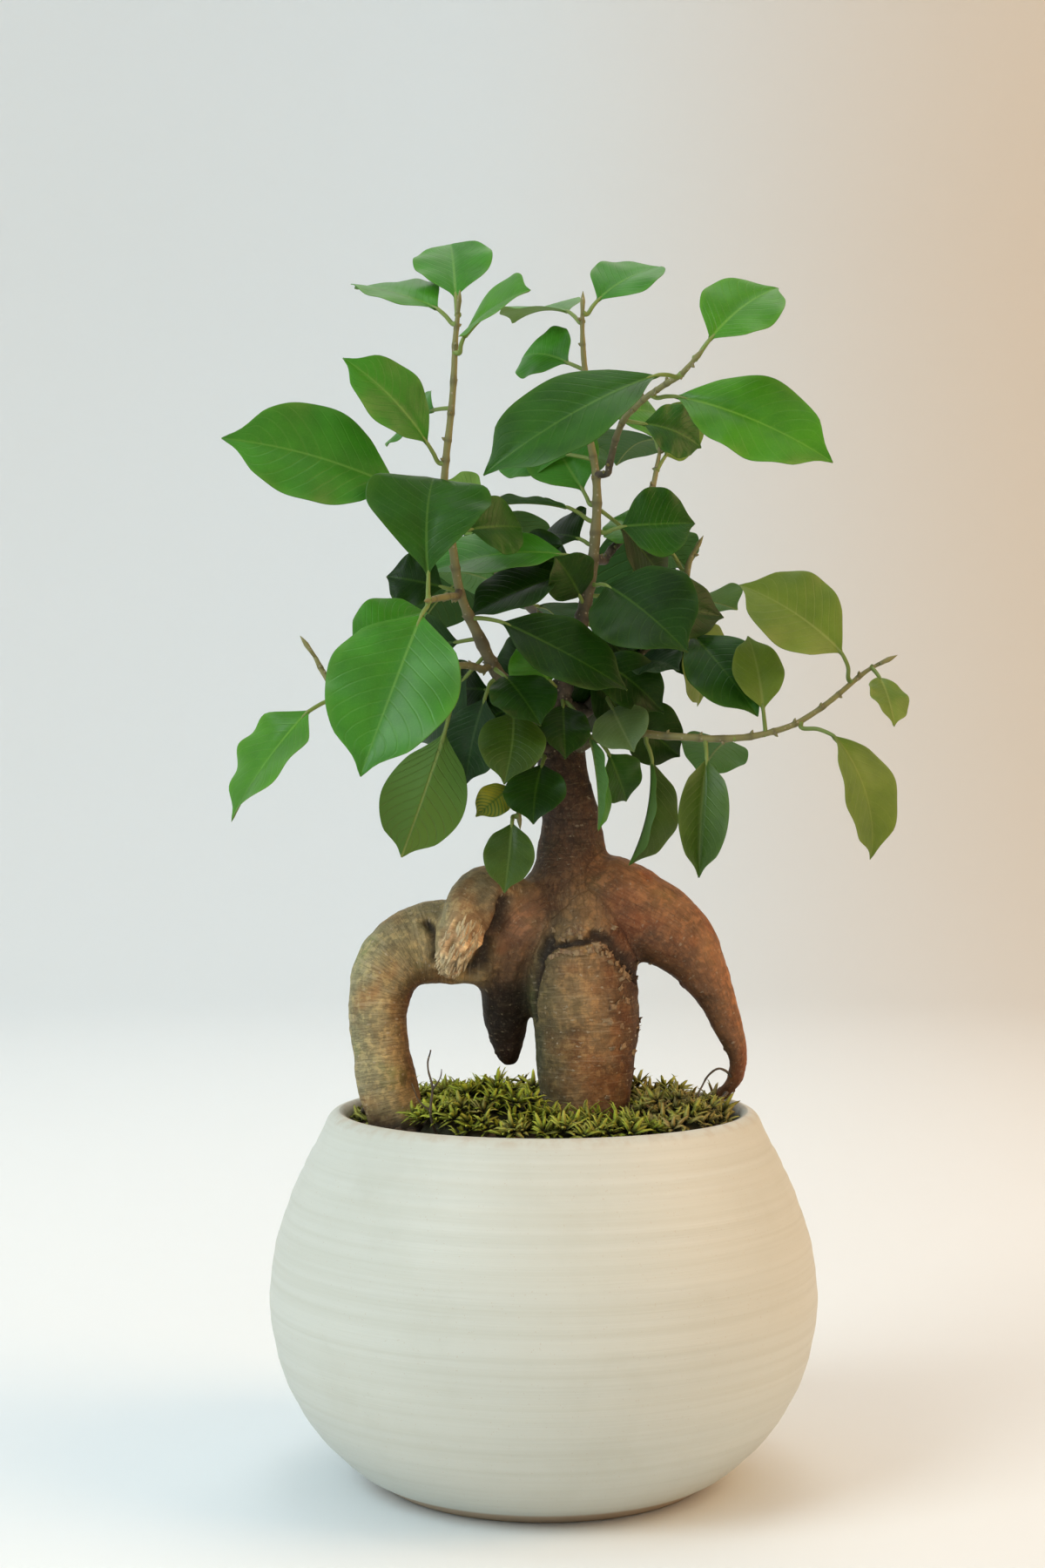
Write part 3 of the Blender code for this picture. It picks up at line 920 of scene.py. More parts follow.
def evaluated(thing: Object) -> Mesh:
    """Apply an object's modifiers and remove the object.

    Args:
        thing: The object.

    Returns:
        A new mesh of what it showed.
    """
    bpy.context.view_layer.update()
    graph = bpy.context.evaluated_depsgraph_get()
    data = bpy.data.meshes.new_from_object(thing.evaluated_get(graph))
    bpy.data.objects.remove(thing)
    return data


def corners_of(data: Mesh) -> tuple[Array, Array]:
    """Read a mesh's corners.

    Args:
        data: The mesh.

    Returns:
        The corners in millimetres, and the normal at each.
    """
    points = np.empty(len(data.vertices) * 3)
    normals = np.empty(len(data.vertices) * 3)
    data.vertices.foreach_get("co", points)
    data.vertices.foreach_get("normal", normals)
    return points.reshape(-1, 3) / MM, normals.reshape(-1, 3)


# --- The pot and what is in it ---


def turned(profile: Array, steps: int) -> tuple[Array, list]:
    """A closed body turned about the Z axis.

    Args:
        profile: Radius and height, from the axis at one end to the axis at the other.
        steps: How many steps there are in a turn.

    Returns:
        Its corners and faces.
    """
    angle = np.arange(steps) * math.tau / steps
    ring = np.stack([np.cos(angle), np.sin(angle)], axis=1)
    rows = profile[1:-1]
    body = np.empty((len(rows), steps, 3))
    body[..., :2] = ring[None] * rows[:, None, :1]
    body[..., 2] = rows[:, None, 1]
    ends = [(0.0, 0.0, profile[0, 1]), (0.0, 0.0, profile[-1, 1])]
    points = np.vstack([body.reshape(-1, 3), ends])
    faces = grid_faces(len(rows), steps, closed=True)
    last = (len(rows) - 1) * steps
    faces += [(len(points) - 2, (i + 1) % steps, i) for i in range(steps)]
    faces += [(len(points) - 1, last + i, last + (i + 1) % steps) for i in range(steps)]
    return points, faces


@dataclass
class Pot:
    """The turned ceramic pot, with a rounded lip, throwing ribs and three drain holes."""

    finish: CeramicFinish
    height: float = 105.0
    lip_radius: float = 58.6
    floor: float = 9.0
    outer: tuple = (
        (61.3, 103.4), (63.4, 99.0), (66.8, 92.5), (70.4, 85.0), (75.2, 72.0), (78.0, 56.0),
        (76.4, 39.0), (69.5, 22.0), (58.0, 8.5), (48.5, 2.0),
    )
    inner: tuple = (
        (46.0, 10.5), (54.0, 16.0), (62.0, 27.0), (68.4, 41.0), (70.0, 56.0), (67.4, 71.0),
        (62.4, 85.0), (58.0, 95.0), (56.2, 100.5), (56.6, 103.6),
    )
    foot_radius: float = 45.0
    steps: int = 256
    rib_depth: float = 0.13
    holes: int = 3
    hole_radius: float = 3.5
    hole_circle: float = 20.0
    hole_sides: int = 32
    rib_top: float = 97.0
    sharp_edge: float = math.radians(50)

    def profile(self) -> Array:
        """The pot's whole outline.

        Returns:
            Radius and height, from the middle of its floor to the middle of its base.
        """
        wall = smooth(np.array([*self.inner, (self.lip_radius, self.height), *self.outer]), 7)
        row = np.arange(len(wall))
        ribs = np.sin(row * 1.9) * 0.6 + np.sin(row * 0.83 + 1.0)
        wall[:, 0] += self.rib_depth * ribs * (wall[:, 1] < self.rib_top)
        floor = [(0.0, self.floor), (15.0, self.floor), (30.0, self.floor)]
        foot = [(self.foot_radius + 1.2, 0.5), (self.foot_radius, 0.0)]
        under = [(30.0, 0.0), (15.0, 0.0), (0.0, 0.0)]
        return np.vstack([floor, wall, foot, under])

    def hole_cutter(self, number: int) -> Object:
        """A cylinder that cuts one drain hole.

        Args:
            number: Which hole it is, counted round their circle.

        Returns:
            The cylinder.
        """
        angle = math.tau * number / self.holes + math.pi / 2
        middle = np.array((math.cos(angle), math.sin(angle), 0.0)) * self.hole_circle
        line = middle + np.outer((-5.0, 2 * self.floor), (0.0, 0.0, 1.0))
        shape = Shape()
        shape.add(*tube(line, np.full(2, self.hole_radius), self.hole_sides))
        return in_scene(f"hole_{number}", shape.mesh("hole", mend=True))

    def build(self) -> Object:
        """Turn the pot, cut its holes and glaze it.

        Returns:
            The pot.
        """
        shape = Shape()
        shape.add(*turned(self.profile(), self.steps))
        thing = in_scene("turned_pot", shape.mesh("turned_pot", mend=True))
        cutters = [self.hole_cutter(number) for number in range(self.holes)]
        for cutter in cutters:
            cut = thing.modifiers.new(cutter.name, "BOOLEAN")
            cut.object = cutter
        data = evaluated(thing)
        for cutter in cutters:
            bpy.data.objects.remove(cutter)
        data.name = "glazed_pot"
        points, normals = corners_of(data)
        inward = -(points[:, 0] * normals[:, 0] + points[:, 1] * normals[:, 1])
        inside = np.clip(inward / 12.0, 0, 1) * (points[:, 2] > self.floor - 0.5)
        layer = data.attributes.new("inside", "FLOAT", "POINT")
        layer.data.foreach_set("value", inside)
        data.shade_smooth()
        data.set_sharp_from_angle(angle=self.sharp_edge)
        return Dress(self.finish.material(), "pale_ceramic", ("pot",)).piece("glazed_pot", data)


@dataclass
class Soil:
    """The earth that fills the pot, lumpy on top, with loose grains on it."""

    finish: SoilFinish
    edge_radius: float = 55.3
    edge_height: float = 100.0
    middle_height: float = 102.0
    floor: float = 9.3
    wall: tuple = (
        (57.4, 95.3), (61.8, 85.3), (66.8, 71.3), (69.4, 56.3), (67.8, 41.3), (61.4, 27.3),
        (53.4, 16.3), (45.4, 10.8),
    )
    steps: int = 260
    row_gap: float = 0.9
    lump: float = 1.1
    grains: int = 1500
    grain_radius: float = 2.3
    grain_rise: float = 0.25
    seed: int = 5

    def top(self, places: Array) -> Array:
        """How high the earth's top is.

        Args:
            places: X and Y of each place.

        Returns:
            Its height at each.
        """
        out = np.hypot(places[:, 0], places[:, 1]) / self.edge_radius
        level = self.middle_height + (self.edge_height - self.middle_height) * out ** 2
        flat = np.column_stack([places, np.zeros(len(places))])
        lumps = 0.6 * wobble(flat, 9.0) + 0.4 * wobble(flat, 3.4, 2) + 0.22 * wobble(flat, 1.5, 4)
        return level + self.lump * lumps * np.clip(6 * (1.02 - out), 0.15, 1)

    def grain(self, rng: np.random.Generator, ball: tuple[Array, list]) -> tuple:
        """One grain: a lumpy pebble part sunk in the earth.

        Args:
            rng: Where its chances come from.
            ball: The corners and faces of a round ball of radius 1.

        Returns:
            Its corners, its faces and how pale it is.
        """
        radius = rng.uniform(0.45, 1.0) ** 2 * self.grain_radius
        angle, reach = rng.uniform(0, math.tau), math.sqrt(rng.uniform(0, 1))
        spot = np.array([(math.cos(angle), math.sin(angle))]) * reach * (self.edge_radius - 3)
        size = radius * rng.uniform(0.65, 1.0, 3)
        lumps = 1 + 0.35 * wobble(ball[0] * radius, 1.3, rng.uniform(0, 50))
        points = ball[0] * size * lumps[:, None]
        turn, _ = np.linalg.qr(rng.normal(size=(3, 3)))
        height = self.top(spot)[0] + self.grain_rise * radius
        return points @ turn + (spot[0, 0], spot[0, 1], height), ball[1], rng.uniform(0, 1) ** 2.5

    def build(self) -> list[Object]:
        """Shape the earth and scatter its grains.

        Returns:
            The earth, and the grains as one piece.
        """
        material = self.finish.material()
        rows = np.arange(self.row_gap, self.edge_radius, self.row_gap)
        top = [(0.0, self.middle_height)] + [(r, self.middle_height) for r in rows]
        rim = [(self.edge_radius, self.edge_height)]
        profile = np.array([*top, *rim, *self.wall, (0.0, self.floor)])
        points, faces = turned(profile, self.steps)
        upper = np.hypot(points[:, 0], points[:, 1]) < self.edge_radius - 0.01
        upper &= points[:, 2] > self.edge_height - 1
        points[upper, 2] = self.top(points[upper, :2])
        shape = Shape()
        shape.add(points, faces, vary=0.1)
        dress = Dress(material, "soil", ("soil",))
        earth = dress.piece("lumpy_soil", shape.mesh("soil", mend=True))
        rng = np.random.default_rng(self.seed)
        ball = bmesh.new()
        bmesh.ops.create_icosphere(ball, subdivisions=1, radius=1)
        corners = np.array([corner.co for corner in ball.verts])
        sides = [[corner.index for corner in face.verts] for face in ball.faces]
        ball.free()
        loose = Shape()
        for _ in range(self.grains):
            grain_points, grain_faces, pale = self.grain(rng, (corners, sides))
            loose.add(grain_points, grain_faces, vary=pale)
        grains = Dress(material, "soil").piece("soil_grains", loose.mesh("soil_grains", mend=True))
        return [earth, grains]


@dataclass
class Moss:
    """Cushions and low patches of star moss, shoot by shoot."""

    finish: MossFinish
    soil: Soil
    clear_of: BVHTree
    cushions: tuple[tuple[str, float], ...] = (("moss_left", 0.10), ("moss_right", 0.75))
    patches: tuple = (
        ("moss_front", (7.0, -36.0), (28.0, 9.5), 0.30),
        ("moss_back_left", (-31.0, 30.0), (18.0, 12.0), 0.35),
        ("moss_back_right", (33.0, 33.0), (15.0, 11.0), 0.6),
        ("moss_back", (-2.0, 46.0), (19.0, 7.0), 0.3),
        ("moss_side_left", (-47.0, 13.0), (7.5, 18.0), 0.3),
        ("moss_side_right", (47.0, 8.0), (7.0, 22.0), 0.85),
    )
    pad_sides: int = 40
    pad_rings: int = 12
    patch_rise: float = 2.8
    spacing: float = 3.3
    uneven: float = 4.2
    blade_length: tuple[float, float] = (3.6, 6.6)
    blade_width: float = 0.72
    blades: int = 9
    seed: int = 11

    def blade(self, rng: np.random.Generator, turn: float, lean: float) -> tuple:
        """One blade, a narrow three-sided spike that arches outwards.

        Args:
            rng: Where its chances come from.
            turn: The way it points, round the shoot.
            lean: How far it leans out, in radians.

        Returns:
            Its corners, its faces and each corner's share of its length.
        """
        length = rng.uniform(*self.blade_length)
        shares = np.array((0.0, 0.5, 0.85))
        angles = lean + shares * 0.55
        out = np.concatenate([[0.0], np.cumsum(np.sin(angles[1:]) * length * np.diff(shares))])
        up = np.concatenate([[0.0], np.cumsum(np.cos(angles[1:]) * length * np.diff(shares))])
        widths = self.blade_width * np.array((0.7, 1.0, 0.55))
        corner = np.arange(3) * math.tau / 3
        flat = np.stack([np.cos(corner) * 0.45, np.sin(corner)], axis=1)
        rings = np.zeros((3, 3, 3))
        rings[..., 0] = out[:, None] + flat[None, :, 0] * widths[:, None]
        rings[..., 1] = flat[None, :, 1] * widths[:, None]
        rings[..., 2] = up[:, None]
        tip = (out[-1] + 0.2 * length, 0.0, up[-1] + 0.02 * length)
        points = np.vstack([rings.reshape(-1, 3), tip])
        cos, sin = math.cos(turn), math.sin(turn)
        points = points @ np.array(((cos, sin, 0), (-sin, cos, 0), (0, 0, 1)))
        faces = grid_faces(3, 3, closed=True) + [(6, 7, 9), (7, 8, 9), (8, 6, 9), (2, 1, 0)]
        return points, faces, np.array((0, 0, 0, 0.5, 0.5, 0.5, 0.85, 0.85, 0.85, 1.0))

    def shoot(
        self, shape: Shape, rng: np.random.Generator, place: Array, lean: Array,
        dry: float,
    ) -> None:
        """Add one star of blades.

        Args:
            shape: Where it is gathered.
            rng: Where its chances come from.
            place: The shoot's foot.
            lean: The way its middle points.
            dry: How brown it is.
        """
        size = rng.uniform(0.75, 1.2)
        vary = rng.uniform(0, 1)
        up = unit(lean + rng.normal(0, 0.18, 3))
        side = unit(np.cross(up, (0.3, 0.9, 0.1)))
        axes = np.stack([side, np.cross(up, side), up])
        for i in range(self.blades):
            inner = i % 2
            turn = i * GOLDEN_ANGLE + rng.uniform(-0.3, 0.3)
            spread = rng.uniform(0.75, 1.15) if inner else rng.uniform(0.25, 0.6)
            points, faces, shares = self.blade(rng, turn, spread)
            points = points * size @ axes + place
            shape.add(points, faces, blade=shares, vary=vary, dry=dry)

    def places(
        self, rng: np.random.Generator, middle: Sequence[float], half: Sequence[float],
    ) -> tuple[Array, Array]:
        """Feet for the shoots of one patch.

        Args:
            rng: Where their chances come from.
            middle: X and Y of the patch's middle.
            half: Its half sizes across X and Y.

        Returns:
            X and Y of each foot, and how far out in the patch it is, from 0 to 1.
        """
        across = np.arange(-half[0], half[0], self.spacing)
        deep = np.arange(-half[1], half[1], self.spacing)
        grid = np.stack(np.meshgrid(across, deep), axis=-1).reshape(-1, 2)
        grid = grid + rng.uniform(-0.5, 0.5, grid.shape) * self.spacing
        out = np.hypot(grid[:, 0] / half[0], grid[:, 1] / half[1])
        out = out + 0.16 * rng.uniform(-1, 1, len(grid))
        keep = out < 1
        spots = grid[keep] + np.array(middle)
        inside = np.hypot(spots[:, 0], spots[:, 1]) < self.soil.edge_radius - 2.5
        return spots[inside], out[keep][inside]

    def is_clear(self, place: Array) -> bool:
        """Whether a foot is outside the roots."""
        spot, normal, _, gap = self.clear_of.find_nearest(Vector(place))
        return gap > 0.7 and (Vector(place) - spot).dot(normal) > 0

    def patch(
        self, name: str, middle: Sequence[float], half: Sequence[float], rise: float,
        dry: float, replaces: tuple[str, ...],
    ) -> Object:
        """One patch of moss: a dark pad, painted shade under the shoots, with its shoots.

        Args:
            name: The piece's name.
            middle: X and Y of its middle.
            half: Its half sizes across X and Y.
            rise: How high its middle stands above the earth.
            dry: How brown it is.
            replaces: The CAD node that it stands for, if any.

        Returns:
            The piece.
        """
        rng = np.random.default_rng(self.seed + len(name) * 7 + int(abs(middle[0])))
        shape = Shape()
        sides = self.pad_sides
        turn = np.arange(sides) * math.tau / sides
        shares = np.linspace(0.0, 1.0, self.pad_rings)[1:]
        ring = np.stack([np.cos(turn) * half[0], np.sin(turn) * half[1]], axis=1)
        flat = (ring[None] * shares[:, None, None]).reshape(-1, 2) + np.array(middle)
        flat = np.vstack([flat, [middle]])
        out = np.append(np.repeat(shares, sides), 0.0)
        ground = self.soil.top(flat) - 0.8
        domed = rise * np.sqrt(np.maximum(1 - out ** 2, 0)) - 0.2
        pad = np.column_stack([flat, ground + domed])
        pad[:, 2] += 0.7 * wobble(pad, 3.0, 3)
        faces = grid_faces(len(shares), sides, closed=True)
        faces += [(len(pad) - 1, i, (i + 1) % sides) for i in range(sides)]
        # The pad takes the dark foot colour: painted shade under the shoots.
        shape.add(pad, faces, blade=0.12, vary=0.3, dry=dry)
        spots, reach = self.places(rng, middle, half)
        heights = self.soil.top(spots) + rise * np.sqrt(np.maximum(1 - reach ** 2, 0)) - 0.5
        for spot, height in zip(spots, heights):
            place = np.array((*spot, height + self.uneven * rng.uniform(0.0, 1.0) ** 1.6))
            if not self.is_clear(place):
                continue
            way = np.array((*(spot - np.array(middle)) / np.array(half) * 0.8, 1.0))
            brown = float(np.clip(dry + rng.normal(0, 0.22), 0, 1))
            self.shoot(shape, rng, place, way, brown)
        data = shape.mesh(name)
        return Dress(self.finish.material(), "moss", replaces).piece(name, data)

    def build(self) -> list[Object]:
        """Plant every cushion and patch.

        Returns:
            The pieces.
        """
        made = []
        for node, dry in self.cushions:
            low, high = (np.array(corner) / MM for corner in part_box(node))
            middle, half = (low + high) / 2, (high - low) / 2
            rise = high[2] - self.soil.middle_height
            made.append(self.patch(f"{node}_shoots", middle[:2], half[:2], rise, dry, (node,)))
        for name, middle, half, dry in self.patches:
            made.append(self.patch(name, middle, half, self.patch_rise, dry, ()))
        return made


# --- The stock: trunk and exposed roots ---


@dataclass(frozen=True)
class Limb:
    """One limb of the stock: its middle line with radii, and its skin.

    The three tints go across the limb, from the side away from its given way to the side on it.
    They hold the bark's own colour with painted light and shade: lighter on a lit side, darker
    on a shaded side or underside.
    """

    route: tuple
    tints: tuple[Colour, Colour, Colour]
    shading_way: Point = (1.0, 0.0, 0.0)
    banded: float = 0.5
    flaky: float = 0.0

    def line(self) -> Array:
        """The middle line as closely spaced points with radii."""
        return smooth(np.array(self.route, float), 8)

    def tint_at(self, across: Array) -> Array:
        """The skin's tint across the limb.

        Args:
            across: Places across it, from -1 to 1.

        Returns:
            A colour for each.
        """
        low, middle, high = (np.array(tint) for tint in self.tints)
        share = np.clip(across, -1, 1)[:, None]
        left = low + (middle - low) * np.clip(1 + share, 0, 1)
        return left + (high - middle) * np.clip(share, 0, 1)


# Each limb's tints are the bark's own colour with painted light and shade: lighter where light
# falls, darker on shaded sides and undersides.
LIMBS = {
    "upper_trunk": Limb(
        (
            (12, -4, 152, 15), (8, -2, 164, 14), (8, 0, 173, 12), (8, 0, 180, 10),
            (8, 0, 186, 8.8),
        ),
        ((0.072, 0.041, 0.024), (0.100, 0.053, 0.031), (0.095, 0.045, 0.025)),
        banded=0.75, flaky=0.60,
    ),
    # Painted shade: the neck is darker, for the shade under the crown.
    "neck": Limb(
        ((8, 0, 188, 8.6), (6, 0, 198, 7.8), (5, 0, 207, 7.4), (4, 0, 213, 7)),
        ((0.035, 0.022, 0.014), (0.060, 0.036, 0.022), (0.055, 0.030, 0.018)),
        banded=0.75, flaky=0.60,
    ),
    "knee": Limb(
        ((0, -4, 163, 10), (-7, -8, 158, 9.5), (-10, -6, 151, 8.2)),
        ((0.120, 0.070, 0.038), (0.185, 0.095, 0.050), (0.175, 0.080, 0.042)),
        shading_way=(0.2, -0.6, 0.8), banded=0.3, flaky=0.2,
    ),
    "centre_leg": Limb(
        (
            (11, -6, 160, 12), (11, -7, 154, 13.5), (11, -8, 146, 14.8), (12, -8, 131, 15.5),
            (12, -8, 116, 14), (12, -8, 104, 12.3), (12, -8, 92, 10),
        ),
        ((0.076, 0.075, 0.034), (0.262, 0.158, 0.068), (0.062, 0.024, 0.012)),
        banded=0.8, flaky=0.25,
    ),
    "left_arch": Limb(
        (
            (2, 0, 160, 12), (-8, 0, 155, 12), (-18, -2, 153, 12), (-30, -4, 153, 12.5),
            (-39, -6, 151, 11.4), (-45, -8, 144, 9.8), (-47, -10, 135, 8.8), (-46, -11, 124, 8.3),
            (-44, -12, 112, 8.6), (-41, -12, 101, 8.3), (-40, -12, 92, 7),
        ),
        ((0.250, 0.232, 0.122), (0.320, 0.235, 0.108), (0.115, 0.043, 0.017)),
        shading_way=(0.85, 0.25, -0.45), banded=1.0,
    ),
    "cut_stub": Limb(
        (
            (-10, -7, 167, 9), (-17, -13, 167, 8.2), (-21, -18, 162, 7.4), (-24, -20, 155, 6),
            (-26, -20, 148, 4.2), (-28, -19, 144, 2.6),
        ),
        ((0.270, 0.230, 0.120), (0.240, 0.195, 0.105), (0.130, 0.090, 0.048)), banded=0.8,
    ),
    # Painted shade: the hanging root is nearly black, for the shadow it hangs in, and lighter only
    # on its top.
    "hanging_root": Limb(
        (
            (-10, -4, 147, 7.8), (-11, -2, 141, 7.6),
            (-11, 2, 130, 6.6), (-10, 4, 121, 4.2), (-10, 5, 116, 2),
        ),
        ((0.016, 0.012, 0.009), (0.022, 0.016, 0.012), (0.135, 0.065, 0.036)),
        shading_way=(0.0, -0.25, 1.0), banded=0.2, flaky=0.3,
    ),
    # Painted light and shade: a dark underside and a bright orange upper shoulder.
    "right_root": Limb(
        (
            (16, -2, 167, 13), (26, -4, 162, 12.5), (36, -5, 156, 11.5), (43, -5, 149, 9),
            (48, -4, 140, 6.6), (53, -2, 129, 4.7), (56, 1, 120, 3.5), (55, 5, 112, 3),
            (51, 9, 107, 2.7), (46, 13, 102, 2.4), (42, 16, 96, 2),
        ),
        ((0.070, 0.035, 0.018), (0.190, 0.085, 0.036), (0.300, 0.138, 0.058)),
        shading_way=(0.6, 0.0, 0.8), banded=0.12, flaky=0.1,
    ),
    "back_root": Limb(
        (
            (10, 8, 162, 10), (11, 20, 154, 8.5), (12, 28, 140, 7.2), (12, 31, 122, 6.6),
            (11, 32, 105, 6), (11, 32, 93, 5),
        ),
        ((0.180, 0.140, 0.075), (0.260, 0.180, 0.090), (0.210, 0.110, 0.050)), banded=0.8,
    ),
}


@dataclass
class Stock:
    """The trunk and its thick roots, regrown finely on the CAD solid."""

    finish: BarkFinish
    wood: WoodFinish
    dry_bark: WoodFinish
    limbs: dict[str, Limb] = field(default_factory=lambda: LIMBS)
    voxel: float = 0.62
    lumps: tuple = ((0.75, 12.0), (0.38, 5.5), (0.16, 2.4), (0.07, 1.1))
    creases: tuple = (
        (0.8, (
            (-3, -21, 152), (-1, -22, 153.5), (5, -23, 154.5), (11, -23.5, 155), (16, -22, 156),
        )),
        (1.5, ((15, -22, 157), (19, -19.5, 154), (22, -17, 150), (25, -14, 146), (26, -10, 143))),
        (1.9, (
            (-14, -15, 166), (-15, -16, 160), (-15.5, -17, 154), (-17, -15, 148),
            (-20, -13, 144),
        )),
        (0.9, ((-33, -16, 160), (-30, -17.5, 154), (-28, -16, 149))),
        (1.5, ((0, -19, 155), (-2, -18, 150), (-3, -15, 142), (-3.5, -12, 133))),
    )
    crease_depth: float = 1.5
    # Painted shade: the colour that the creases are darkened towards.
    crease_shade: Colour = (0.022, 0.014, 0.010)
    ring_height: float = 0.07
    strand_height: float = 0.12
    plate_height: float = 0.25
    wart_height: float = 2.2
    limb_step: float = 90.0
    meld: float = 1.6
    stub_tip: Point = (-26.0, -24.0, 147.0)
    stub_way: Point = (-0.42, 0.02, -0.90)
    tear_reach: float = 15.0
    tear_half_width: float = 6.2
    torn_pale: Colour = (0.62, 0.50, 0.30)
    splinters: int = 85
    flakes: int = 64
    seed: int = 23
    surface: BVHTree | None = None

    def regrown(self) -> Mesh:
        """Lay a fine even mesh over the CAD solid.

        Returns:
            The mesh.
        """
        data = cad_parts["trunk"].data.copy()
        shape = bmesh.new()
        shape.from_mesh(data)
        bmesh.ops.remove_doubles(shape, verts=shape.verts, dist=0.001 * MM)
        shape.to_mesh(data)
        shape.free()
        thing = in_scene("growing_stock", data)
        round_off = thing.modifiers.new("round_off", "SUBSURF")
        round_off.levels = 2
        remesh = thing.modifiers.new("even", "REMESH")
        remesh.mode = "VOXEL"
        remesh.voxel_size = self.voxel * MM
        soften = thing.modifiers.new("soften", "SMOOTH")
        soften.factor = 0.5
        soften.iterations = 8
        return evaluated(thing)

    def place_on_limbs(self, points: Array) -> dict[str, Array]:
        """Where each corner is on the limbs.

        Args:
            points: The corners.

        Returns:
            Their "grain" places, and their "tint", "banded" and "flaky", melted where limbs meet.
        """
        gaps, grains, tints = [], [], []
        for number, limb in enumerate(self.limbs.values()):
            line = limb.line()
            middle, radius = line[:, :3], line[:, 3]
            away = np.linalg.norm(points[:, None] - middle[None], axis=2) - radius
            near = np.argmin(away, axis=1)
            gaps.append(away[np.arange(len(points)), near])
            ahead = unit(np.gradient(middle, axis=0))[near]
            out = points - middle[near]
            step = np.sum(out * ahead, axis=1)
            out = out - ahead * step[:, None]
            side = unit(np.cross(ahead, np.array((0.0, 1.0, 0.05))))
            other = np.cross(ahead, side)
            along = lengths_along(middle)[near] + step + self.limb_step * number
            grains.append(np.column_stack([along, np.sum(out * side, 1), np.sum(out * other, 1)]))
            # Painted light and shade: each corner's tint follows where it lies between a limb's
            # shaded and lit sides.
            across = out @ unit(np.array(limb.shading_way)) / np.maximum(radius[near], 1)
            across = across + 0.25 * wobble(points, 7.0, number)
            tints.append(limb.tint_at(across))
        gaps = np.array(gaps)
        weights = np.exp(-(gaps - gaps.min(axis=0)) / self.meld)
        weights /= weights.sum(axis=0)
        nearest = np.argmin(gaps, axis=0)
        sure = np.clip(weights.max(axis=0) * 2 - 1, 0, 1)
        limbs = list(self.limbs.values())
        return {
            "grain": np.array(grains)[nearest, np.arange(len(points))],
            "tint": np.einsum("lp,lpc->pc", weights, np.array(tints)),
            "banded": weights.T @ np.array([limb.banded for limb in limbs]) * sure,
            "flaky": weights.T @ np.array([limb.flaky for limb in limbs]),
        }

    def on_skin(self, path: Array) -> Array:
        """A path moved onto the nearest places of the skin."""
        return np.array([tuple(self.surface.find_nearest(Vector(place))[0]) for place in path])

    def crease_at(self, points: Array) -> Array:
        """How deep the creases are.

        Args:
            points: The points.

        Returns:
            The depth at each, up to 1, and below 0 on the small lip beside a crease.
        """
        depth = np.zeros(len(points))
        for width, crease in self.creases:
            line = self.on_skin(smooth(np.array(crease, float), 6))
            away = np.linalg.norm(points[:, None] - line[None], axis=2).min(axis=1)
            away = away + 0.5 * wobble(points, 2.5, 8)
            valley = np.exp(-((np.maximum(away - 0.4, 0) / width) ** 2))
            lip = 0.35 * np.exp(-(((away - 2.0 - width) / 1.3) ** 2))
            depth = np.where(np.abs(valley - lip) > np.abs(depth), valley - lip, depth)
        return depth

    def torn_at(self, points: Array) -> Array:
        """How torn the stub's end is.

        Args:
            points: The points.

        Returns:
            The tear at each, from 0 to 1.
        """
        way = unit(np.array(self.stub_way))
        start = np.array(self.stub_tip) - way * self.tear_reach
        out = points - start
        along = out @ way
        aside = np.linalg.norm(out - along[:, None] * way, axis=1)
        facing = np.clip((-points[:, 1] - 15.0) / 4.0, 0.25, 1)
        gash = np.clip((self.tear_half_width - aside + wobble(points, 2.2, 4)) / 1.6, 0, 1)
        torn = np.clip((along + 2.0 * wobble(points, 3.0, 3)) / 5.0, 0, 1)
        torn = torn * np.clip((self.tear_reach + 4.0 - along) / 2.0, 0, 1)
        return torn * gash * facing * (points[:, 0] < -15)

    def build(self) -> list[Object]:
        """Grow the stock with its relief, and add the torn wood and the bark flakes.

        Returns:
            The stock, the torn wood and the flakes.
        """
        data = self.regrown()
        points, normals = corners_of(data)
        faces = [tuple(face.vertices) for face in data.polygons]
        self.surface = BVHTree.FromPolygons(points.tolist(), faces)
        values = self.place_on_limbs(points)
        relief = sum(
            height * wobble(points, size, number)
            for number, (height, size) in enumerate(self.lumps)
        )
        grain, banded, flaky = values["grain"], values["banded"], values["flaky"]
        rings = wobble(grain * (1.0, 0.13, 0.13), 1.5, 5)
        strands = wobble(grain * (0.10, 1.0, 1.0), 1.7, 6)
        plates = np.round(wobble(grain * (0.7, 1.0, 1.0), 3.6, 7) * 3) / 3
        relief += (
            self.ring_height * banded * rings
            + self.strand_height * (1 - banded) * strands
            + self.plate_height * flaky * plates
        )
        warts = np.maximum(wobble(points, 1.9, 12) - 0.42, 0) * (1 - banded) * self.wart_height
        relief += warts * np.clip(-normals[:, 2] + 0.2, 0, 1)
        crease = self.crease_at(points)
        torn = self.torn_at(points)
        fibres = wobble((points - np.array(self.stub_tip)) @ self.tear_axes(), 1.0, 9)
        relief += torn * (1.3 * fibres + 0.5) - self.crease_depth * crease
        grown = points + normals * relief[:, None]
        pale, dark = np.array(self.torn_pale), np.array(self.crease_shade)
        # Painted light and shade: the skin is painted lighter where the relief stands out and
        # darker where it sinks.
        tint = values["tint"] * (1 + 0.22 * np.clip(relief, -1, 1))[:, None]
        rough_wood = pale * (0.70 + 0.75 * fibres)[:, None]
        tint = tint + (rough_wood - tint) * (torn * np.clip(0.75 + fibres, 0, 1))[:, None]
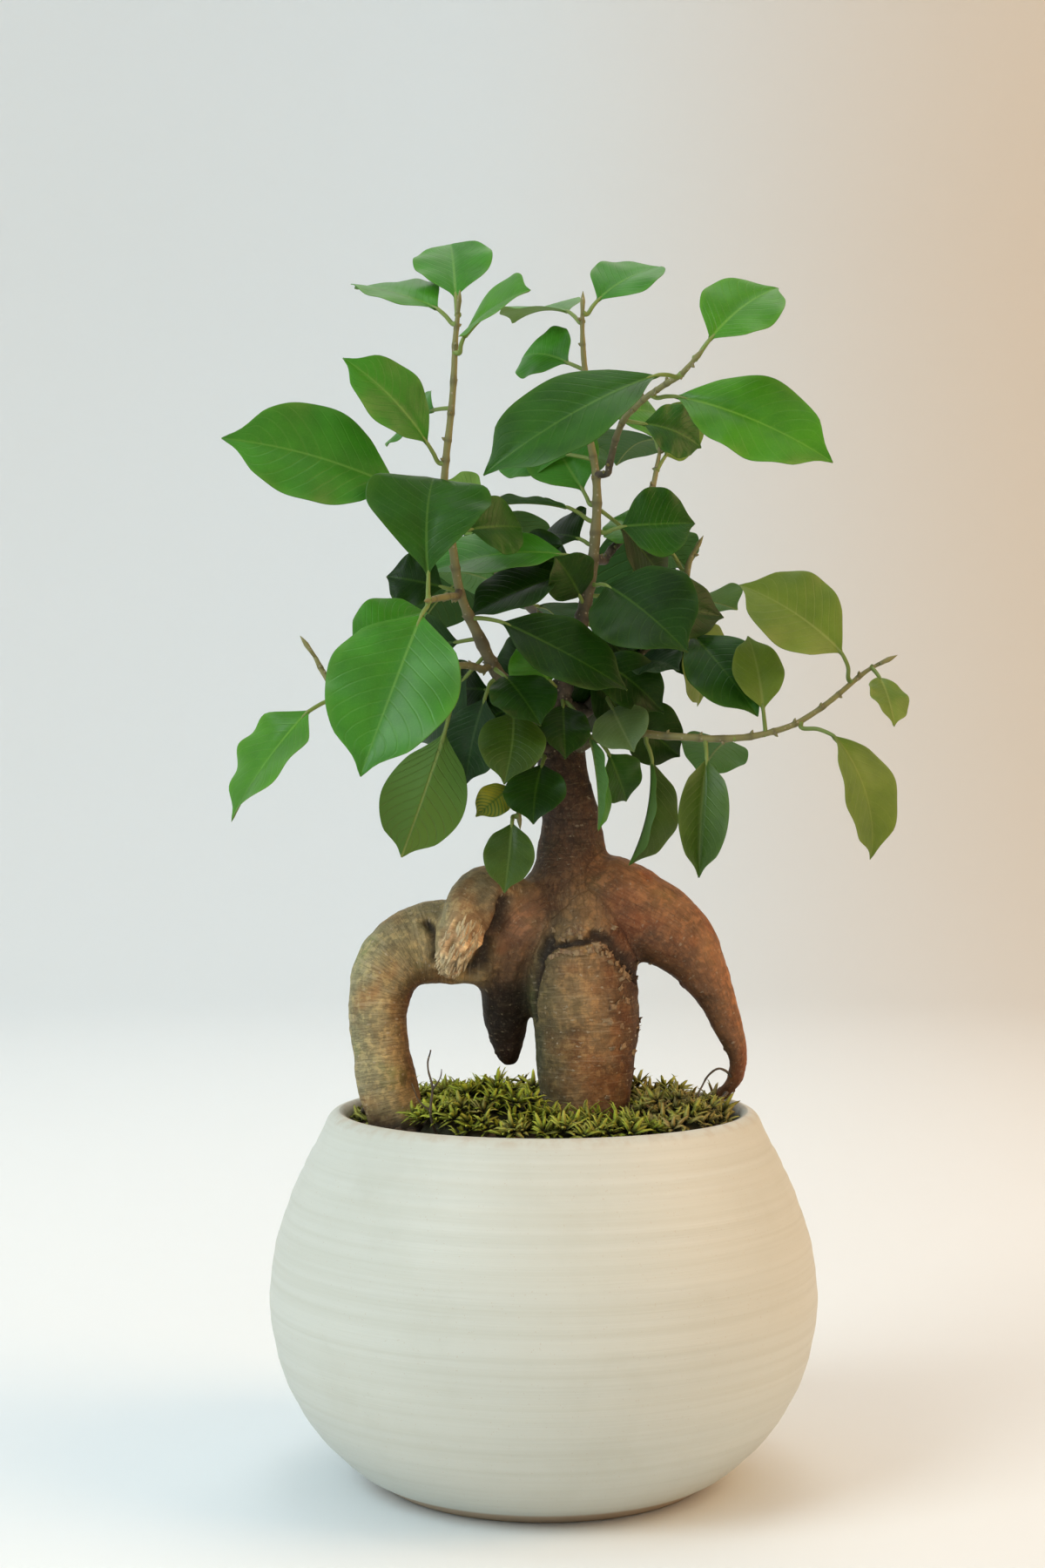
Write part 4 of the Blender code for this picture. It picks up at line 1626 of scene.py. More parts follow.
        # Painted shade: the creases are darkened nearly to black, for the shade that falls in them.
        tint = tint + (dark - tint) * (np.clip(crease, 0, 1) ** 0.8 * 0.92)[:, None]
        values["tint"] = np.clip(tint * 1.12, 0.004, 1)
        values["flaky"] = flaky + 0.4 * np.clip(-crease, 0, 1)
        shape = Shape()
        shape.add(grown, faces, **values)
        bpy.data.meshes.remove(data)
        mesh = shape.mesh("bark_stock")
        self.surface = BVHTree.FromPolygons(grown.tolist(), faces)
        bark = self.finish.material()
        stock = Dress(bark, "bark", ("trunk",)).piece("bark_stock", mesh)
        seen = corners_of(mesh)
        return [stock, self.torn_wood(*seen), self.bark_flakes(*seen, crease)]

    def tear_axes(self) -> Array:
        """Axes in which the torn wood's strands are long.

        Returns:
            A matrix for points as rows.
        """
        way = unit(np.array(self.stub_way))
        side = unit(np.cross(way, (0.0, 1.0, 0.0)))
        return np.column_stack([way * 0.22, side, np.cross(way, side)])

    def torn_wood(self, points: Array, normals: Array) -> Object:
        """Splinters that stand off the stub's broken end.

        Args:
            points: The stock's corners.
            normals: The normal at each.

        Returns:
            The splinters, as one piece.
        """
        rng = np.random.default_rng(self.seed)
        way = unit(np.array(self.stub_way))
        candidates = np.flatnonzero(self.torn_at(points) > 0.7)
        shape = Shape()
        for _ in range(self.splinters):
            corner = rng.choice(candidates)
            length = rng.uniform(2.4, 6.5)
            lean = unit(way + 0.05 * normals[corner] + rng.normal(0, 0.10, 3))
            curl = rng.normal(0, 0.10, 3)
            share = np.linspace(0, 1, 5)[:, None]
            path = points[corner] - normals[corner] * 0.15 + lean * length * (share - 0.7)
            path = path + curl * share ** 2 * length
            radii = np.array((0.15, 0.42, 0.50, 0.36, 0.10)) * rng.uniform(0.6, 1.25)
            shape.add(*tube(path, radii, 5))
        wood = Dress(self.wood.material("torn_wood"), "bark")
        return wood.piece("torn_wood", shape.mesh("torn_wood", mend=True))

    def bark_flakes(
        self, points: Array, normals: Array, crease: Array,
    ) -> Object:
        """Thin curled plates of bark round the collar and on the thick leg's right side.

        Args:
            points: The stock's corners.
            normals: The normal at each.
            crease: How deep the creases are at each.

        Returns:
            The flakes, as one piece.
        """
        rng = np.random.default_rng(self.seed + 1)
        front = points[:, 1] < -8
        collar = (crease < -0.22) & front & (points[:, 0] > 2) & (points[:, 2] > 146)
        collar &= (points[:, 0] < 22) & (points[:, 2] < 158)
        leg = (points[:, 0] > 17) & (points[:, 2] < 148) & (points[:, 2] > 108)
        leg &= (points[:, 0] < 32) & (points[:, 1] < -4)
        chosen = [rng.choice(np.flatnonzero(where), self.flakes // 2) for where in (collar, leg)]
        shape = Shape()
        for corner in np.concatenate(chosen):
            normal = normals[corner]
            side = unit(np.cross(normal, (0.1, 0.0, 1.0)) + rng.normal(0, 0.35, 3))
            down = np.cross(side, normal)
            wide, tall = rng.uniform(0.5, 1.6), rng.uniform(0.35, 0.9)
            u, v = np.meshgrid(np.linspace(-1, 1, 5), np.linspace(-1, 1, 4))
            u, v = u.reshape(-1, 1), v.reshape(-1, 1)
            ragged = 1 + 0.25 * rng.normal(size=u.shape) * (np.abs(u) > 0.9)
            curl = 0.10 + rng.uniform(0.15, 0.55) * np.maximum(v, 0) ** 2
            sheet = points[corner] + side * u * wide * ragged + down * v * tall
            sheet = sheet + normal * (curl - 0.10 * wide * u ** 2)
            thick = np.vstack([sheet + normal * 0.10, sheet - normal * 0.14])
            faces = grid_faces(4, 5) + [face[::-1] for face in grid_faces(4, 5, start=20)]
            rim = [0, 1, 2, 3, 4, 9, 14, 19, 18, 17, 16, 15, 10, 5]
            faces += [(b, a, a + 20, b + 20) for a, b in zip(rim, rim[1:] + rim[:1])]
            shape.add(thick, faces)
        bark = Dress(self.dry_bark.material("curled_bark"), "bark")
        return bark.piece("bark_flakes", shape.mesh("bark_flakes", mend=True))


# --- Stems ---


@dataclass
class Shoots:
    """The leaders and twigs, each grown into what it comes from, with leaf joints and buds."""

    finish: StemFinish
    stock: Stock
    names: tuple[str, ...] = (
        "left_leader", "centre_leader", "right_leader", "right_twig", "long_branch", "left_twig",
        "front_twig", "low_spur", "back_left_twig", "back_right_twig",
    )
    sides: int = 12
    row_gap: float = 0.7
    joint_gap: float = 7.5
    joint_rise: float = 0.16
    joint_width: float = 0.75
    graft_depth: float = 2.5
    thick_from: float = 2.8
    thick_flare: float = 2.15
    thin_flare: float = 1.5
    bud_length: float = 4.0
    bud_radius: float = 0.95
    bud_places: tuple[float, ...] = (-0.8, 0.0, 0.25, 0.55, 0.8, 1.0)
    bud_swell: tuple[float, ...] = (0.55, 0.72, 0.80, 0.58, 0.30, 0.06)
    scar_places: tuple[float, ...] = (0.0, 0.7, 1.3)
    scar_radii: tuple[float, ...] = (0.55, 0.48, 0.10)
    green: dict[str, float] = field(default_factory=lambda: {
        "long_branch": 0.45, "left_twig": 0.5, "right_leader": 0.3, "front_twig": 0.3,
        "left_leader": 0.25, "centre_leader": 0.12,
    })
    slim: dict[str, float] = field(default_factory=lambda: {"long_branch": 0.84})
    lines: dict[str, Array] = field(default_factory=dict)

    def read_back(self) -> None:
        """Take every stem's middle line and radii from its CAD solid."""
        for name in self.names:
            rows = rows_of(name)
            middle = rows.mean(axis=1)
            radius = np.linalg.norm(rows - middle[:, None], axis=2).mean(axis=1)
            self.lines[name] = smooth(np.column_stack([middle, radius]), 6)

    def nearest(self, place: Array, leave_out: str = "") -> tuple[Array, float, float]:
        """The nearest place on any stem's middle line.

        Args:
            place: A point.
            leave_out: A stem that isn't looked at.

        Returns:
            The place, its stem's radius there, and how far off it is.
        """
        lines = [line for name, line in self.lines.items() if name != leave_out]
        every = np.vstack(lines)
        away = np.linalg.norm(every[:, :3] - place, axis=1)
        found = int(np.argmin(away - every[:, 3]))
        return every[found, :3], float(every[found, 3]), float(away[found])

    def root_of(self, name: str) -> Array:
        """Where a stem starts, inside what it grows from.

        Args:
            name: The stem.

        Returns:
            The place, with the stem's radius there.
        """
        start = self.lines[name][0]
        place, radius, away = self.nearest(start[:3], leave_out=name)
        spot, normal, _, gap = self.stock.surface.find_nearest(Vector(start[:3]))
        if gap < away - radius:
            inner = np.array(spot) - np.array(normal) * self.graft_depth
            flare = self.thick_flare if start[3] > self.thick_from else self.thin_flare
            return np.append(inner, start[3] * flare)
        return np.append(place, min(start[3] * 1.15, radius))

    def at(self, name: str, share: float) -> Array:
        """A place on a stem's middle line.

        Args:
            name: The stem.
            share: How far along its length the place is, from 0 to 1.

        Returns:
            The place.
        """
        line = self.lines[name]
        far = lengths_along(line[:, :3])
        return np.array([np.interp(share * far[-1], far, line[:, axis]) for axis in range(3)])

    def stem(self, name: str) -> Object:
        """Grow one stem with its joints, and a bud at its tip.

        Args:
            name: The stem.

        Returns:
            The piece.
        """
        line = smooth(np.vstack([self.root_of(name), self.lines[name][::3]]), 6)
        far = lengths_along(line[:, :3])
        places = np.linspace(0, far[-1], max(int(far[-1] / self.row_gap), 12))
        fine = np.column_stack([np.interp(places, far, line[:, axis]) for axis in range(4)])
        path, radius = fine[:, :3], fine[:, 3] * self.slim.get(name, 1.0)
        uneven = 0.35 * wobble(path, 5.0, 2)
        turns = places / self.joint_gap + uneven
        beat = np.abs(turns - np.round(turns)) * self.joint_gap
        joint = np.exp(-((beat / self.joint_width) ** 2))
        joint = joint * (places > 3) * (places < far[-1] - 2)
        radius = radius * (1 + self.joint_rise * joint + 0.10 * wobble(path, 2.0, 5))
        path = path + 0.28 * np.column_stack([wobble(path, 9.0, seed) for seed in (1, 2, 3)])
        points, faces = tube(path, radius, self.sides)
        share = np.append(np.repeat(places / far[-1], self.sides), (0.0, 1.0))
        ring = np.append(np.repeat(joint, self.sides), (0.0, 0.0))
        shape = Shape()
        youth = share * min(1.0, far[-1] / 60.0 + 0.45) + self.green.get(name, 0.0)
        shape.add(points, faces, along=np.minimum(youth, 1.0), joint=ring)
        ahead = unit(path[-1] - path[-4])
        reach = np.array(self.bud_places)[:, None] * self.bud_length
        bud = path[-1] + ahead * reach + 0.25 * np.array((0.0, -1.0, 0.0)) * (reach / 5) ** 2
        swell = np.array(self.bud_swell) * self.bud_radius
        shape.add(*tube(bud, swell, 8), along=1.0, joint=0.0)
        for i in np.flatnonzero((joint[1:-1] > joint[:-2]) & (joint[1:-1] > joint[2:])) + 1:
            onward = unit(path[i + 1] - path[i])
            turn = i * GOLDEN_ANGLE
            way = unit(np.cross(onward, (math.sin(turn), math.cos(turn), 0.3)))
            foot = path[i] + way * radius[i] * 0.5
            scar = foot + (way + 0.5 * onward) * np.array(self.scar_places)[:, None]
            shape.add(*tube(scar, np.array(self.scar_radii), 6), along=0.7, joint=0.0)
        dress = Dress(self.finish.material(), "stem", (name,))
        return dress.piece(f"{name}_skin", shape.mesh(name, mend=True))

    def build(self) -> list[Object]:
        """Grow every stem."""
        return [self.stem(name) for name in self.names]


# --- Leaves ---


@dataclass(frozen=True)
class Extra:
    """A small leaf that only the looks have: its stem, how far along, its tip and its width."""

    stem: str
    along: float
    tip: Point
    face: Point
    width: float
    # By default a small leaf takes the darkest tone: painted shade for the crown's heart.
    tone: LeafTone = LeafTone.DARK_IN_SHADE
    stalk: float = 0.22
    sag: float = 0.10


@dataclass
class Blade:
    """One leaf ready to be made: its midrib, the way across it, and how it is shaped."""

    midrib: Array
    across: Array
    up: Array
    half: float
    stalk_rows: int
    fold: float
    number: int
    wave: float = 0.5
    twist: float = 0.0
    shoulder: float = 1.0
    thickness: float = 0.34
    side_veins: int = 12
    quilt_height: float = 0.08
    groove_depth: float = 0.32
    groove_width: float = 0.75
    rib_depth: float = 0.42
    rib_width: float = 0.55
    stalk_sides: int = 9
    rows: int = 40
    columns: int = 16

    def outline(self, share: Array) -> Array:
        """The blade's half width: oval, with a drawn-out tip.

        Args:
            share: Places along its length, from 0 to 1.

        Returns:
            The half width at each.
        """
        oval = np.sin(math.pi * np.clip(share, 0, 1) ** self.shoulder) ** 0.80
        pinch = np.clip((share - 0.80) / 0.15, 0, 1)
        pinch = pinch * pinch * (3 - 2 * pinch)
        wedge = np.clip(share / 0.20, 0, 1) ** 0.40
        return self.half * oval * (1 - 0.48 * pinch) * wedge

    def surface(self) -> tuple[Array, Array, Array, Array]:
        """The blade's middle surface.

        Returns:
            Its corners as rows and columns, the share along and across of each, and the
            distance of each from the midrib.
        """
        track = smooth(self.midrib[self.stalk_rows:], 12)
        far = lengths_along(track)
        share = np.linspace(0, 1, self.rows)
        share = share + 0.035 * np.sin(math.tau * share)
        middle = np.column_stack([np.interp(share * far[-1], far, track[:, i]) for i in range(3)])
        ahead = unit(np.gradient(middle, axis=0))
        lean = self.twist * (share - 0.25)
        across = unit(self.across - ahead * (ahead @ self.across)[:, None])
        up = np.cross(ahead, across)
        up = up * np.sign(np.sum(up * self.up, axis=1))[:, None]
        turned_across = across * np.cos(lean)[:, None] + up * np.sin(lean)[:, None]
        up = up * np.cos(lean)[:, None] - across * np.sin(lean)[:, None]
        place = np.sin(np.linspace(-1, 1, self.columns + 1) * math.pi / 2)
        half = self.outline(share)
        phase = self.number * 1.7
        length = far[-1]
        aside = half[:, None] * place
        wide = np.abs(place)[None]
        edge_wave = np.sin(math.tau * share * (2.1 + self.number % 3 * 0.6) + phase)
        other_wave = np.sin(math.tau * share * (2.6 + self.number % 2 * 0.7) + phase * 2.3)
        waves = np.where(place > 0, edge_wave[:, None], other_wave[:, None]) * wide ** 2
        quilting = np.cos(math.tau * (share[:, None] * self.side_veins - wide * 2.3))
        quilting = quilting * wide * (1 - wide)
        lift = wide * math.tan(self.fold) * half[:, None]
        lift = lift - 0.055 * self.half * (wide * half[:, None] / self.half) ** 2 * 2.2
        lift = lift + self.wave * waves * half[:, None] / self.half
        lift = lift + self.quilt_height * quilting
        groove = self.groove_depth * np.exp(-((aside / self.groove_width) ** 2))
        groove = groove * (1 - 0.6 * share)[:, None]
        sway = 0.03 * length * np.sin(math.pi * share) * math.sin(phase * 1.3)
        points = middle + turned_across * sway[:, None]
        points = points[:, None] + turned_across[:, None] * aside[..., None]
        points = points + up[:, None] * (lift - groove)[..., None]
        return points, np.broadcast_to(share[:, None], aside.shape), place, aside

    def add_to(self, shape: Shape) -> None:
        """Add the blade as a thin closed body.

        Args:
            shape: Where it is gathered.
        """
        points, along, place, aside = self.surface()
        rows, columns = aside.shape
        down_the_leaf = np.gradient(points, axis=0)
        over_the_leaf = np.gradient(points, axis=1)
        normal = unit(np.cross(down_the_leaf, over_the_leaf))
        if np.sum(normal[rows // 3] @ self.up) < 0:
            normal = -normal
        swollen = 0.5 * self.thickness * np.clip(1.35 - np.abs(place), 0.35, 1)[None, :, None]
        rib = self.rib_depth * np.exp(-((aside / self.rib_width) ** 2)) * (1 - 0.75 * along)
        top = (points + normal * swollen).reshape(-1, 3)
        bottom = (points - normal * (swollen + rib[..., None])).reshape(-1, 3)
        count = rows * columns
        rim = [*range(columns), *range(2 * columns - 1, count, columns)]
        rim += [*range(count - 2, count - columns - 1, -1)]
        rim += [*range(count - 2 * columns, 0, -columns)]
        faces = grid_faces(rows, columns)
        faces += [face[::-1] for face in grid_faces(rows, columns, start=count)]
        faces += [(b, a, a + count, b + count) for a, b in zip(rim, rim[1:] + rim[:1])]
        across = np.broadcast_to(place, aside.shape).ravel()
        shape.add(
            np.vstack([top, bottom]), faces,
            along=np.tile(along.ravel(), 2), across=np.tile(across, 2),
            offset=np.tile(aside.ravel(), 2), under=np.repeat((0.0, 1.0), count), stalk=0.0,
            vary=(self.number * 0.618) % 1.0,
        )

    def add_stalk(self, shape: Shape, foot: Array, radius: float = 0.56) -> None:
        """Add the leaf's stalk, from inside its stem to a little way under the midrib.

        Args:
            shape: Where it is gathered.
            foot: Where it starts.
            radius: About how thick it is.
        """
        track = smooth(self.midrib[self.stalk_rows:], 12)
        far = lengths_along(track)
        end = [
            [np.interp(part * far[-1], far, track[:, i]) for i in range(3)] for part in (0.04, 0.10)
        ]
        path = smooth(np.vstack([foot, self.midrib[:self.stalk_rows + 1], end]), 5)
        path = path - self.up * 0.28 * np.linspace(0, 1, len(path))[:, None]
        share = np.linspace(0, 1, len(path))
        radii = radius * (1.25 - 0.45 * share + 0.5 * np.exp(-((share / 0.10) ** 2)))
        radii = radii * np.clip((1 - share) / 0.12, 0.25, 1)
        points, faces = tube(path, radii, self.stalk_sides)
        shape.add(points, faces, along=0.0, across=0.6, offset=3.0, under=0.0, stalk=1.0, vary=0.5)


@dataclass
class Foliage:
    """Every leaf: those of the frame, and small ones in the crown's heart and at its back, many of
    them dark as painted shade.
    """

    shoots: Shoots
    tones: dict[LeafTone, tuple[int, ...]] = field(default_factory=lambda: {
        LeafTone.MID: (1, 3, 4, 5, 7, 8, 15, 19, 22, 25),
        LeafTone.FRESH: (6, 9, 16, 24, 27, 28, 33),
        LeafTone.RICH: (2, 21, 23, 26, 31, 34, 43, 45),
        LeafTone.DARK_IN_SHADE: (13, 14, 17, 18, 20, 39, 42, 44),
        LeafTone.BLUISH: (11, 29),
        LeafTone.OLIVE: (10, 12, 35, 36, 41),
        LeafTone.GOLDEN: (32, 37, 38),
        LeafTone.PALE: (30,),
        LeafTone.STRIPED: (40,),
    })
    slots: dict[str, tuple[int, ...]] = field(default_factory=lambda: {
        "pale_leaf": (30, 32, 38), "yellow_leaf": (40,),
    })
    wavy: dict[int, float] = field(default_factory=lambda: {
        9: 1.1, 2: 1.0, 3: 0.9, 27: 0.9, 1: 0.6,
    })
    shoulders: dict[int, float] = field(default_factory=lambda: {
        2: 1.7, 26: 1.15, 9: 0.85, 3: 0.9,
    })
    slender: dict[int, float] = field(default_factory=lambda: {
        26: 0.80, 27: 0.84, 1: 0.95, 41: 0.9,
    })
    twisted: dict[int, float] = field(default_factory=lambda: {9: 0.5, 16: 0.5, 5: -0.4, 25: 0.4})
    swelling: float = 1.03
    stalk_rows: int = 2
    extra_fold: float = math.radians(12)
    extra_numbers: int = 60
    # Small leaves without a tone of their own take the darkest tone: painted shade in the crown's
    # heart and at its back.
    extras: tuple[Extra, ...] = (
        Extra("left_leader", 0.36, (-44, -18, 256), (-0.2, -1, 0.3), 17),
        Extra("left_leader", 0.24, (-40, 2, 234), (-0.2, -1, 0.2), 19),
        Extra("left_leader", 0.05, (-22, 8, 214), (-0.2, -1, 0.2), 18),
        Extra("left_leader", 0.20, (-36, 6, 210), (-0.1, -1, 0.2), 18, LeafTone.BLUISH),
        Extra("centre_leader", 0.28, (52, 2, 246), (0.2, -1, 0.3), 21),
        Extra("centre_leader", 0.08, (-18, 14, 208), (-0.2, -1, 0.2), 20),
        Extra("centre_leader", 0.25, (3, -14, 262), (0.1, -1, 0.3), 17),
        Extra("centre_leader", 0.02, (6, -19, 205), (0.1, -1, 0.1), 15),
        Extra("centre_leader", 0.15, (34, -10, 218), (0.2, -1, 0.2), 17),
        Extra("right_twig", 0.10, (40, 12, 206), (0.3, -1, 0.2), 19),
        Extra("right_twig", 0.35, (50, 16, 240), (0.2, -1, 0.2), 20),
        Extra("centre_leader", 0.36, (-10, 6, 262), (0.1, -1, 0.3), 19),
        Extra("centre_leader", 0.22, (30, 14, 228), (0.2, -1, 0.3), 20),
        Extra("centre_leader", 0.18, (-14, 10, 226), (-0.2, -1, 0.3), 19),
        Extra("centre_leader", 0.12, (27, 8, 210), (0.4, -1, 0.1), 16),
        Extra("centre_leader", 0.50, (36, 16, 256), (0.3, -1, 0.4), 19),
        Extra("centre_leader", 0.62, (-12, 16, 294), (-0.2, -0.9, 0.4), 20, LeafTone.MID),
        Extra("centre_leader", 0.72, (34, 14, 306), (0.3, -0.9, 0.4), 20, LeafTone.MID),
        Extra("centre_leader", 0.84, (-6, 8, 322), (-0.2, -0.9, 0.5), 20, LeafTone.MID),
        Extra("left_leader", 0.78, (-40, -12, 296), (-0.3, -0.8, 0.5), 20, LeafTone.MID),
        Extra("left_leader", 0.50, (-6, -14, 270), (0.3, -0.9, 0.3), 18, LeafTone.RICH),
        Extra("right_twig", 0.52, (20, 2, 243), (-0.2, -1, 0.3), 13),
        Extra("right_leader", 0.30, (44, -18, 292), (0.3, -0.9, 0.5), 18, LeafTone.RICH),
        Extra("long_branch", 0.55, (58, -8, 240), (0.1, -0.9, 0.5), 15, LeafTone.GOLDEN),
        Extra("long_branch", 0.95, (97, -24, 214), (0.4, -0.8, 0.5), 13, LeafTone.GOLDEN),
        Extra("back_left_twig", 0.45, (-34, 36, 262), (-0.5, 0.6, 0.6), 22, LeafTone.MID),
        Extra("back_left_twig", 0.30, (6, 44, 246), (0.3, 0.8, 0.5), 22),
        Extra("back_left_twig", 0.85, (-30, 54, 292), (-0.2, 0.6, 0.7), 22, LeafTone.FRESH),
        Extra("back_right_twig", 0.40, (44, 30, 262), (0.5, 0.6, 0.6), 22, LeafTone.MID),
        Extra("back_right_twig", 0.85, (52, 44, 312), (0.3, 0.5, 0.8), 22, LeafTone.FRESH),
        Extra("centre_leader", 0.66, (4, 34, 288), (0, 0.8, 0.6), 22, LeafTone.MID),
        Extra("right_twig", 0.70, (58, 26, 250), (0.4, 0.7, 0.5), 20, LeafTone.MID),
        Extra("left_twig", 0.45, (-44, -2, 212), (-0.4, 0.7, 0.5), 20, LeafTone.MID),
        Extra("long_branch", 0.45, (46, 18, 200), (0.1, 0.8, 0.5), 20, LeafTone.MID),
        Extra("centre_leader", 0.18, (17, 18, 213), (0.1, -1, 0.1), 18),
        Extra("left_leader", 0.10, (-30, 12, 224), (-0.1, -1, 0.1), 17),
    )
    materials: dict[LeafTone, Material] = field(default_factory=dict)

    def from_frame(self, number: int) -> Blade:
        """Read one leaf back from its CAD solid.

        Args:
            number: The leaf's number.

        Returns:
            The leaf.
        """
        rows = rows_of(f"leaf_{number:02d}")
        spread = np.linalg.norm(rows[:, :, None] - rows[:, None], axis=3).max(axis=(1, 2))
        widest = int(np.argmax(spread))
        gaps = np.linalg.norm(rows[widest][:, None] - rows[widest][None], axis=2)
        one, two = np.unravel_index(np.argmax(gaps), gaps.shape)
        across = unit(rows[widest][two] - rows[widest][one])
        order = np.argsort(rows @ across, axis=1)
        tracks = np.take_along_axis(rows, order[..., None], axis=1)
        left, middle, right = (tracks[:, pair].mean(axis=1) for pair in ((0, 1), (2, 3), (4, 5)))
        across = unit(right[widest] - left[widest])
        rise = (left[widest] + right[widest]) / 2 - middle[widest]
        up = unit(rise - across * (rise @ across))
        half = float(np.linalg.norm(right[widest] - left[widest])) / 2
        fold = math.atan2(float(rise @ up), half)
        half = half * self.swelling * self.slender.get(number, 1.0)
        return Blade(
            middle, across, up, half, self.stalk_rows, fold, number,
            wave=self.wavy.get(number, 0.35 + 0.05 * (number % 5)),
            twist=self.twisted.get(number, 0.22 * math.sin(number * 2.1)),
            shoulder=self.shoulders.get(number, 0.96 + 0.03 * (number % 4)),
        )

    def from_extra(self, extra: Extra, number: int) -> Blade:
        """Lay out a leaf that only the looks have, on an arc from its stem to its tip.

        Args:
            extra: The leaf.
            number: A number that no other leaf has.

        Returns:
            The leaf, ready to be made.
        """
        foot = self.shoots.at(extra.stem, extra.along)
        way = np.array(extra.tip) - foot
        face = np.array(extra.face)
        up = unit(face - way * (face @ way) / (way @ way))
        share = np.concatenate([[0.0, extra.stalk / 2], np.linspace(extra.stalk, 1, 7)])
        arc = 4 * share * (1 - share) * extra.sag * np.linalg.norm(way)
        midrib = foot + way * share[:, None] + up * arc[:, None]
        across = unit(np.cross(up, way))
        return Blade(
            midrib, across, up, extra.width / 2, self.stalk_rows, self.extra_fold, number,
            wave=0.5, twist=0.3 * math.sin(number * 1.9),
        )

    def leaf(
        self, name: str, blade: Blade, tone: LeafTone, slot: str,
        replaces: tuple[str, ...] = (),
    ) -> Object:
        """Make one leaf.

        Args:
            name: The piece's name.
            blade: How it lies.
            tone: Its colours.
            slot: The material slot's name, which is only written to the log.
            replaces: The CAD node that it stands for, if any.

        Returns:
            The piece.
        """
        shape = Shape()
        blade.add_to(shape)
        foot, _, _ = self.shoots.nearest(blade.midrib[0])
        blade.add_stalk(shape, foot)
        if tone not in self.materials:
            self.materials[tone] = LeafFinish(tone).material()
        data = shape.mesh(name, mend=True)
        return Dress(self.materials[tone], slot, replaces).piece(name, data)

    def build(self) -> list[Object]:
        """Make every leaf.

        Returns:
            The pieces.
        """
        tone_of = {number: tone for tone, numbers in self.tones.items() for number in numbers}
        slot_of = {number: slot for slot, numbers in self.slots.items() for number in numbers}
        made = []
        for number in sorted(tone_of):
            node = f"leaf_{number:02d}"
            slot = slot_of.get(number, "leaf")
            blade = self.from_frame(number)
            made.append(self.leaf(f"{node}_blade", blade, tone_of[number], slot, (node,)))
        for number, extra in enumerate(self.extras, 1):
            slot = "pale_leaf" if extra.tone in (LeafTone.GOLDEN, LeafTone.PALE) else "leaf"
            blade = self.from_extra(extra, number + self.extra_numbers)
            made.append(self.leaf(f"small_leaf_{number:02d}", blade, extra.tone, slot))
        return made


# --- Small things on the soil, and the studio ---


@dataclass
class Litter:
    """Fine roots and dead twigs that lie and stand in the pot."""

    finish: StemFinish
    paths: tuple = (
        ((-29, -33, 101), (-31, -36, 108), (-30.5, -37, 115), (-31.5, -37.5, 121), (-31, -38, 126)),
        ((-31, -36, 109), (-34, -37, 112), (-36, -38, 117)),
        ((-30.5, -37, 115), (-28.5, -38, 118), (-28, -38.5, 121)),
        ((55, 4, 113), (50, -4, 117), (45, -9, 113), (43, -11, 107), (42, -12, 101)),
        ((51, 9, 107), (53, 3, 109), (50, -3, 107), (47, -5, 102)),
        ((-48, -12, 108), (-51, -6, 105), (-48, 2, 102), (-40, 8, 102), (-30, 6, 101)),
        ((24, -8, 106), (31, -3, 104), (35, 4, 103), (33, 12, 102.6), (26, 16, 101)),
        ((11, 32, 108), (4, 37, 105), (-6, 36, 103), (-14, 30, 102.5), (-20, 30, 101)),
        ((-6, -9, 105), (-12, -4, 104), (-19, 2, 103), (-27, 3, 102)),
    )
    radii: tuple[float, ...] = (0.42, 0.28, 0.26, 0.36, 0.50, 0.95, 1.15, 1.0, 0.8)

    def build(self) -> Object:
        """Make the fine roots and twigs.

        Returns:
            The piece.
        """
        shape = Shape()
        for path, radius in zip(self.paths, self.radii):
            line = smooth(np.array(path, float), 9)
            share = np.linspace(0, 1, len(line))
            line = line + 0.35 * np.column_stack([wobble(line, 4.0, seed) for seed in (4, 5, 6)])
            radii = radius * (1.1 - 0.6 * share) * (1 + 0.2 * wobble(line, 1.5, 7))
            shape.add(*tube(line, radii, 8), along=0.15, joint=0.35)
        data = shape.mesh("fine_roots", mend=True)
        return Dress(self.finish.material(), "stem").piece("fine_roots", data)


@dataclass
class Lamp:
    """A soft square lamp. Its spread is in degrees."""

    name: str
    place: Point
    size: float
    watts: float
    colour: Colour
    spread: float = 95.0

    def build(self, target: Point) -> None:
        """Hang the lamp.

        Args:
            target: The point that it looks at.
        """
        light = bpy.data.lights.new(self.name, "AREA")
        light.shape = "SQUARE"
        light.size = self.size
        light.energy = self.watts
        light.color = self.colour
        light.spread = math.radians(self.spread)
        lamp = in_scene(self.name, light)
        lamp.location = self.place
        way = Vector(target) - Vector(self.place)
        lamp.rotation_euler = way.to_track_quat("-Z", "Y").to_euler()
        lamp.visible_camera = False


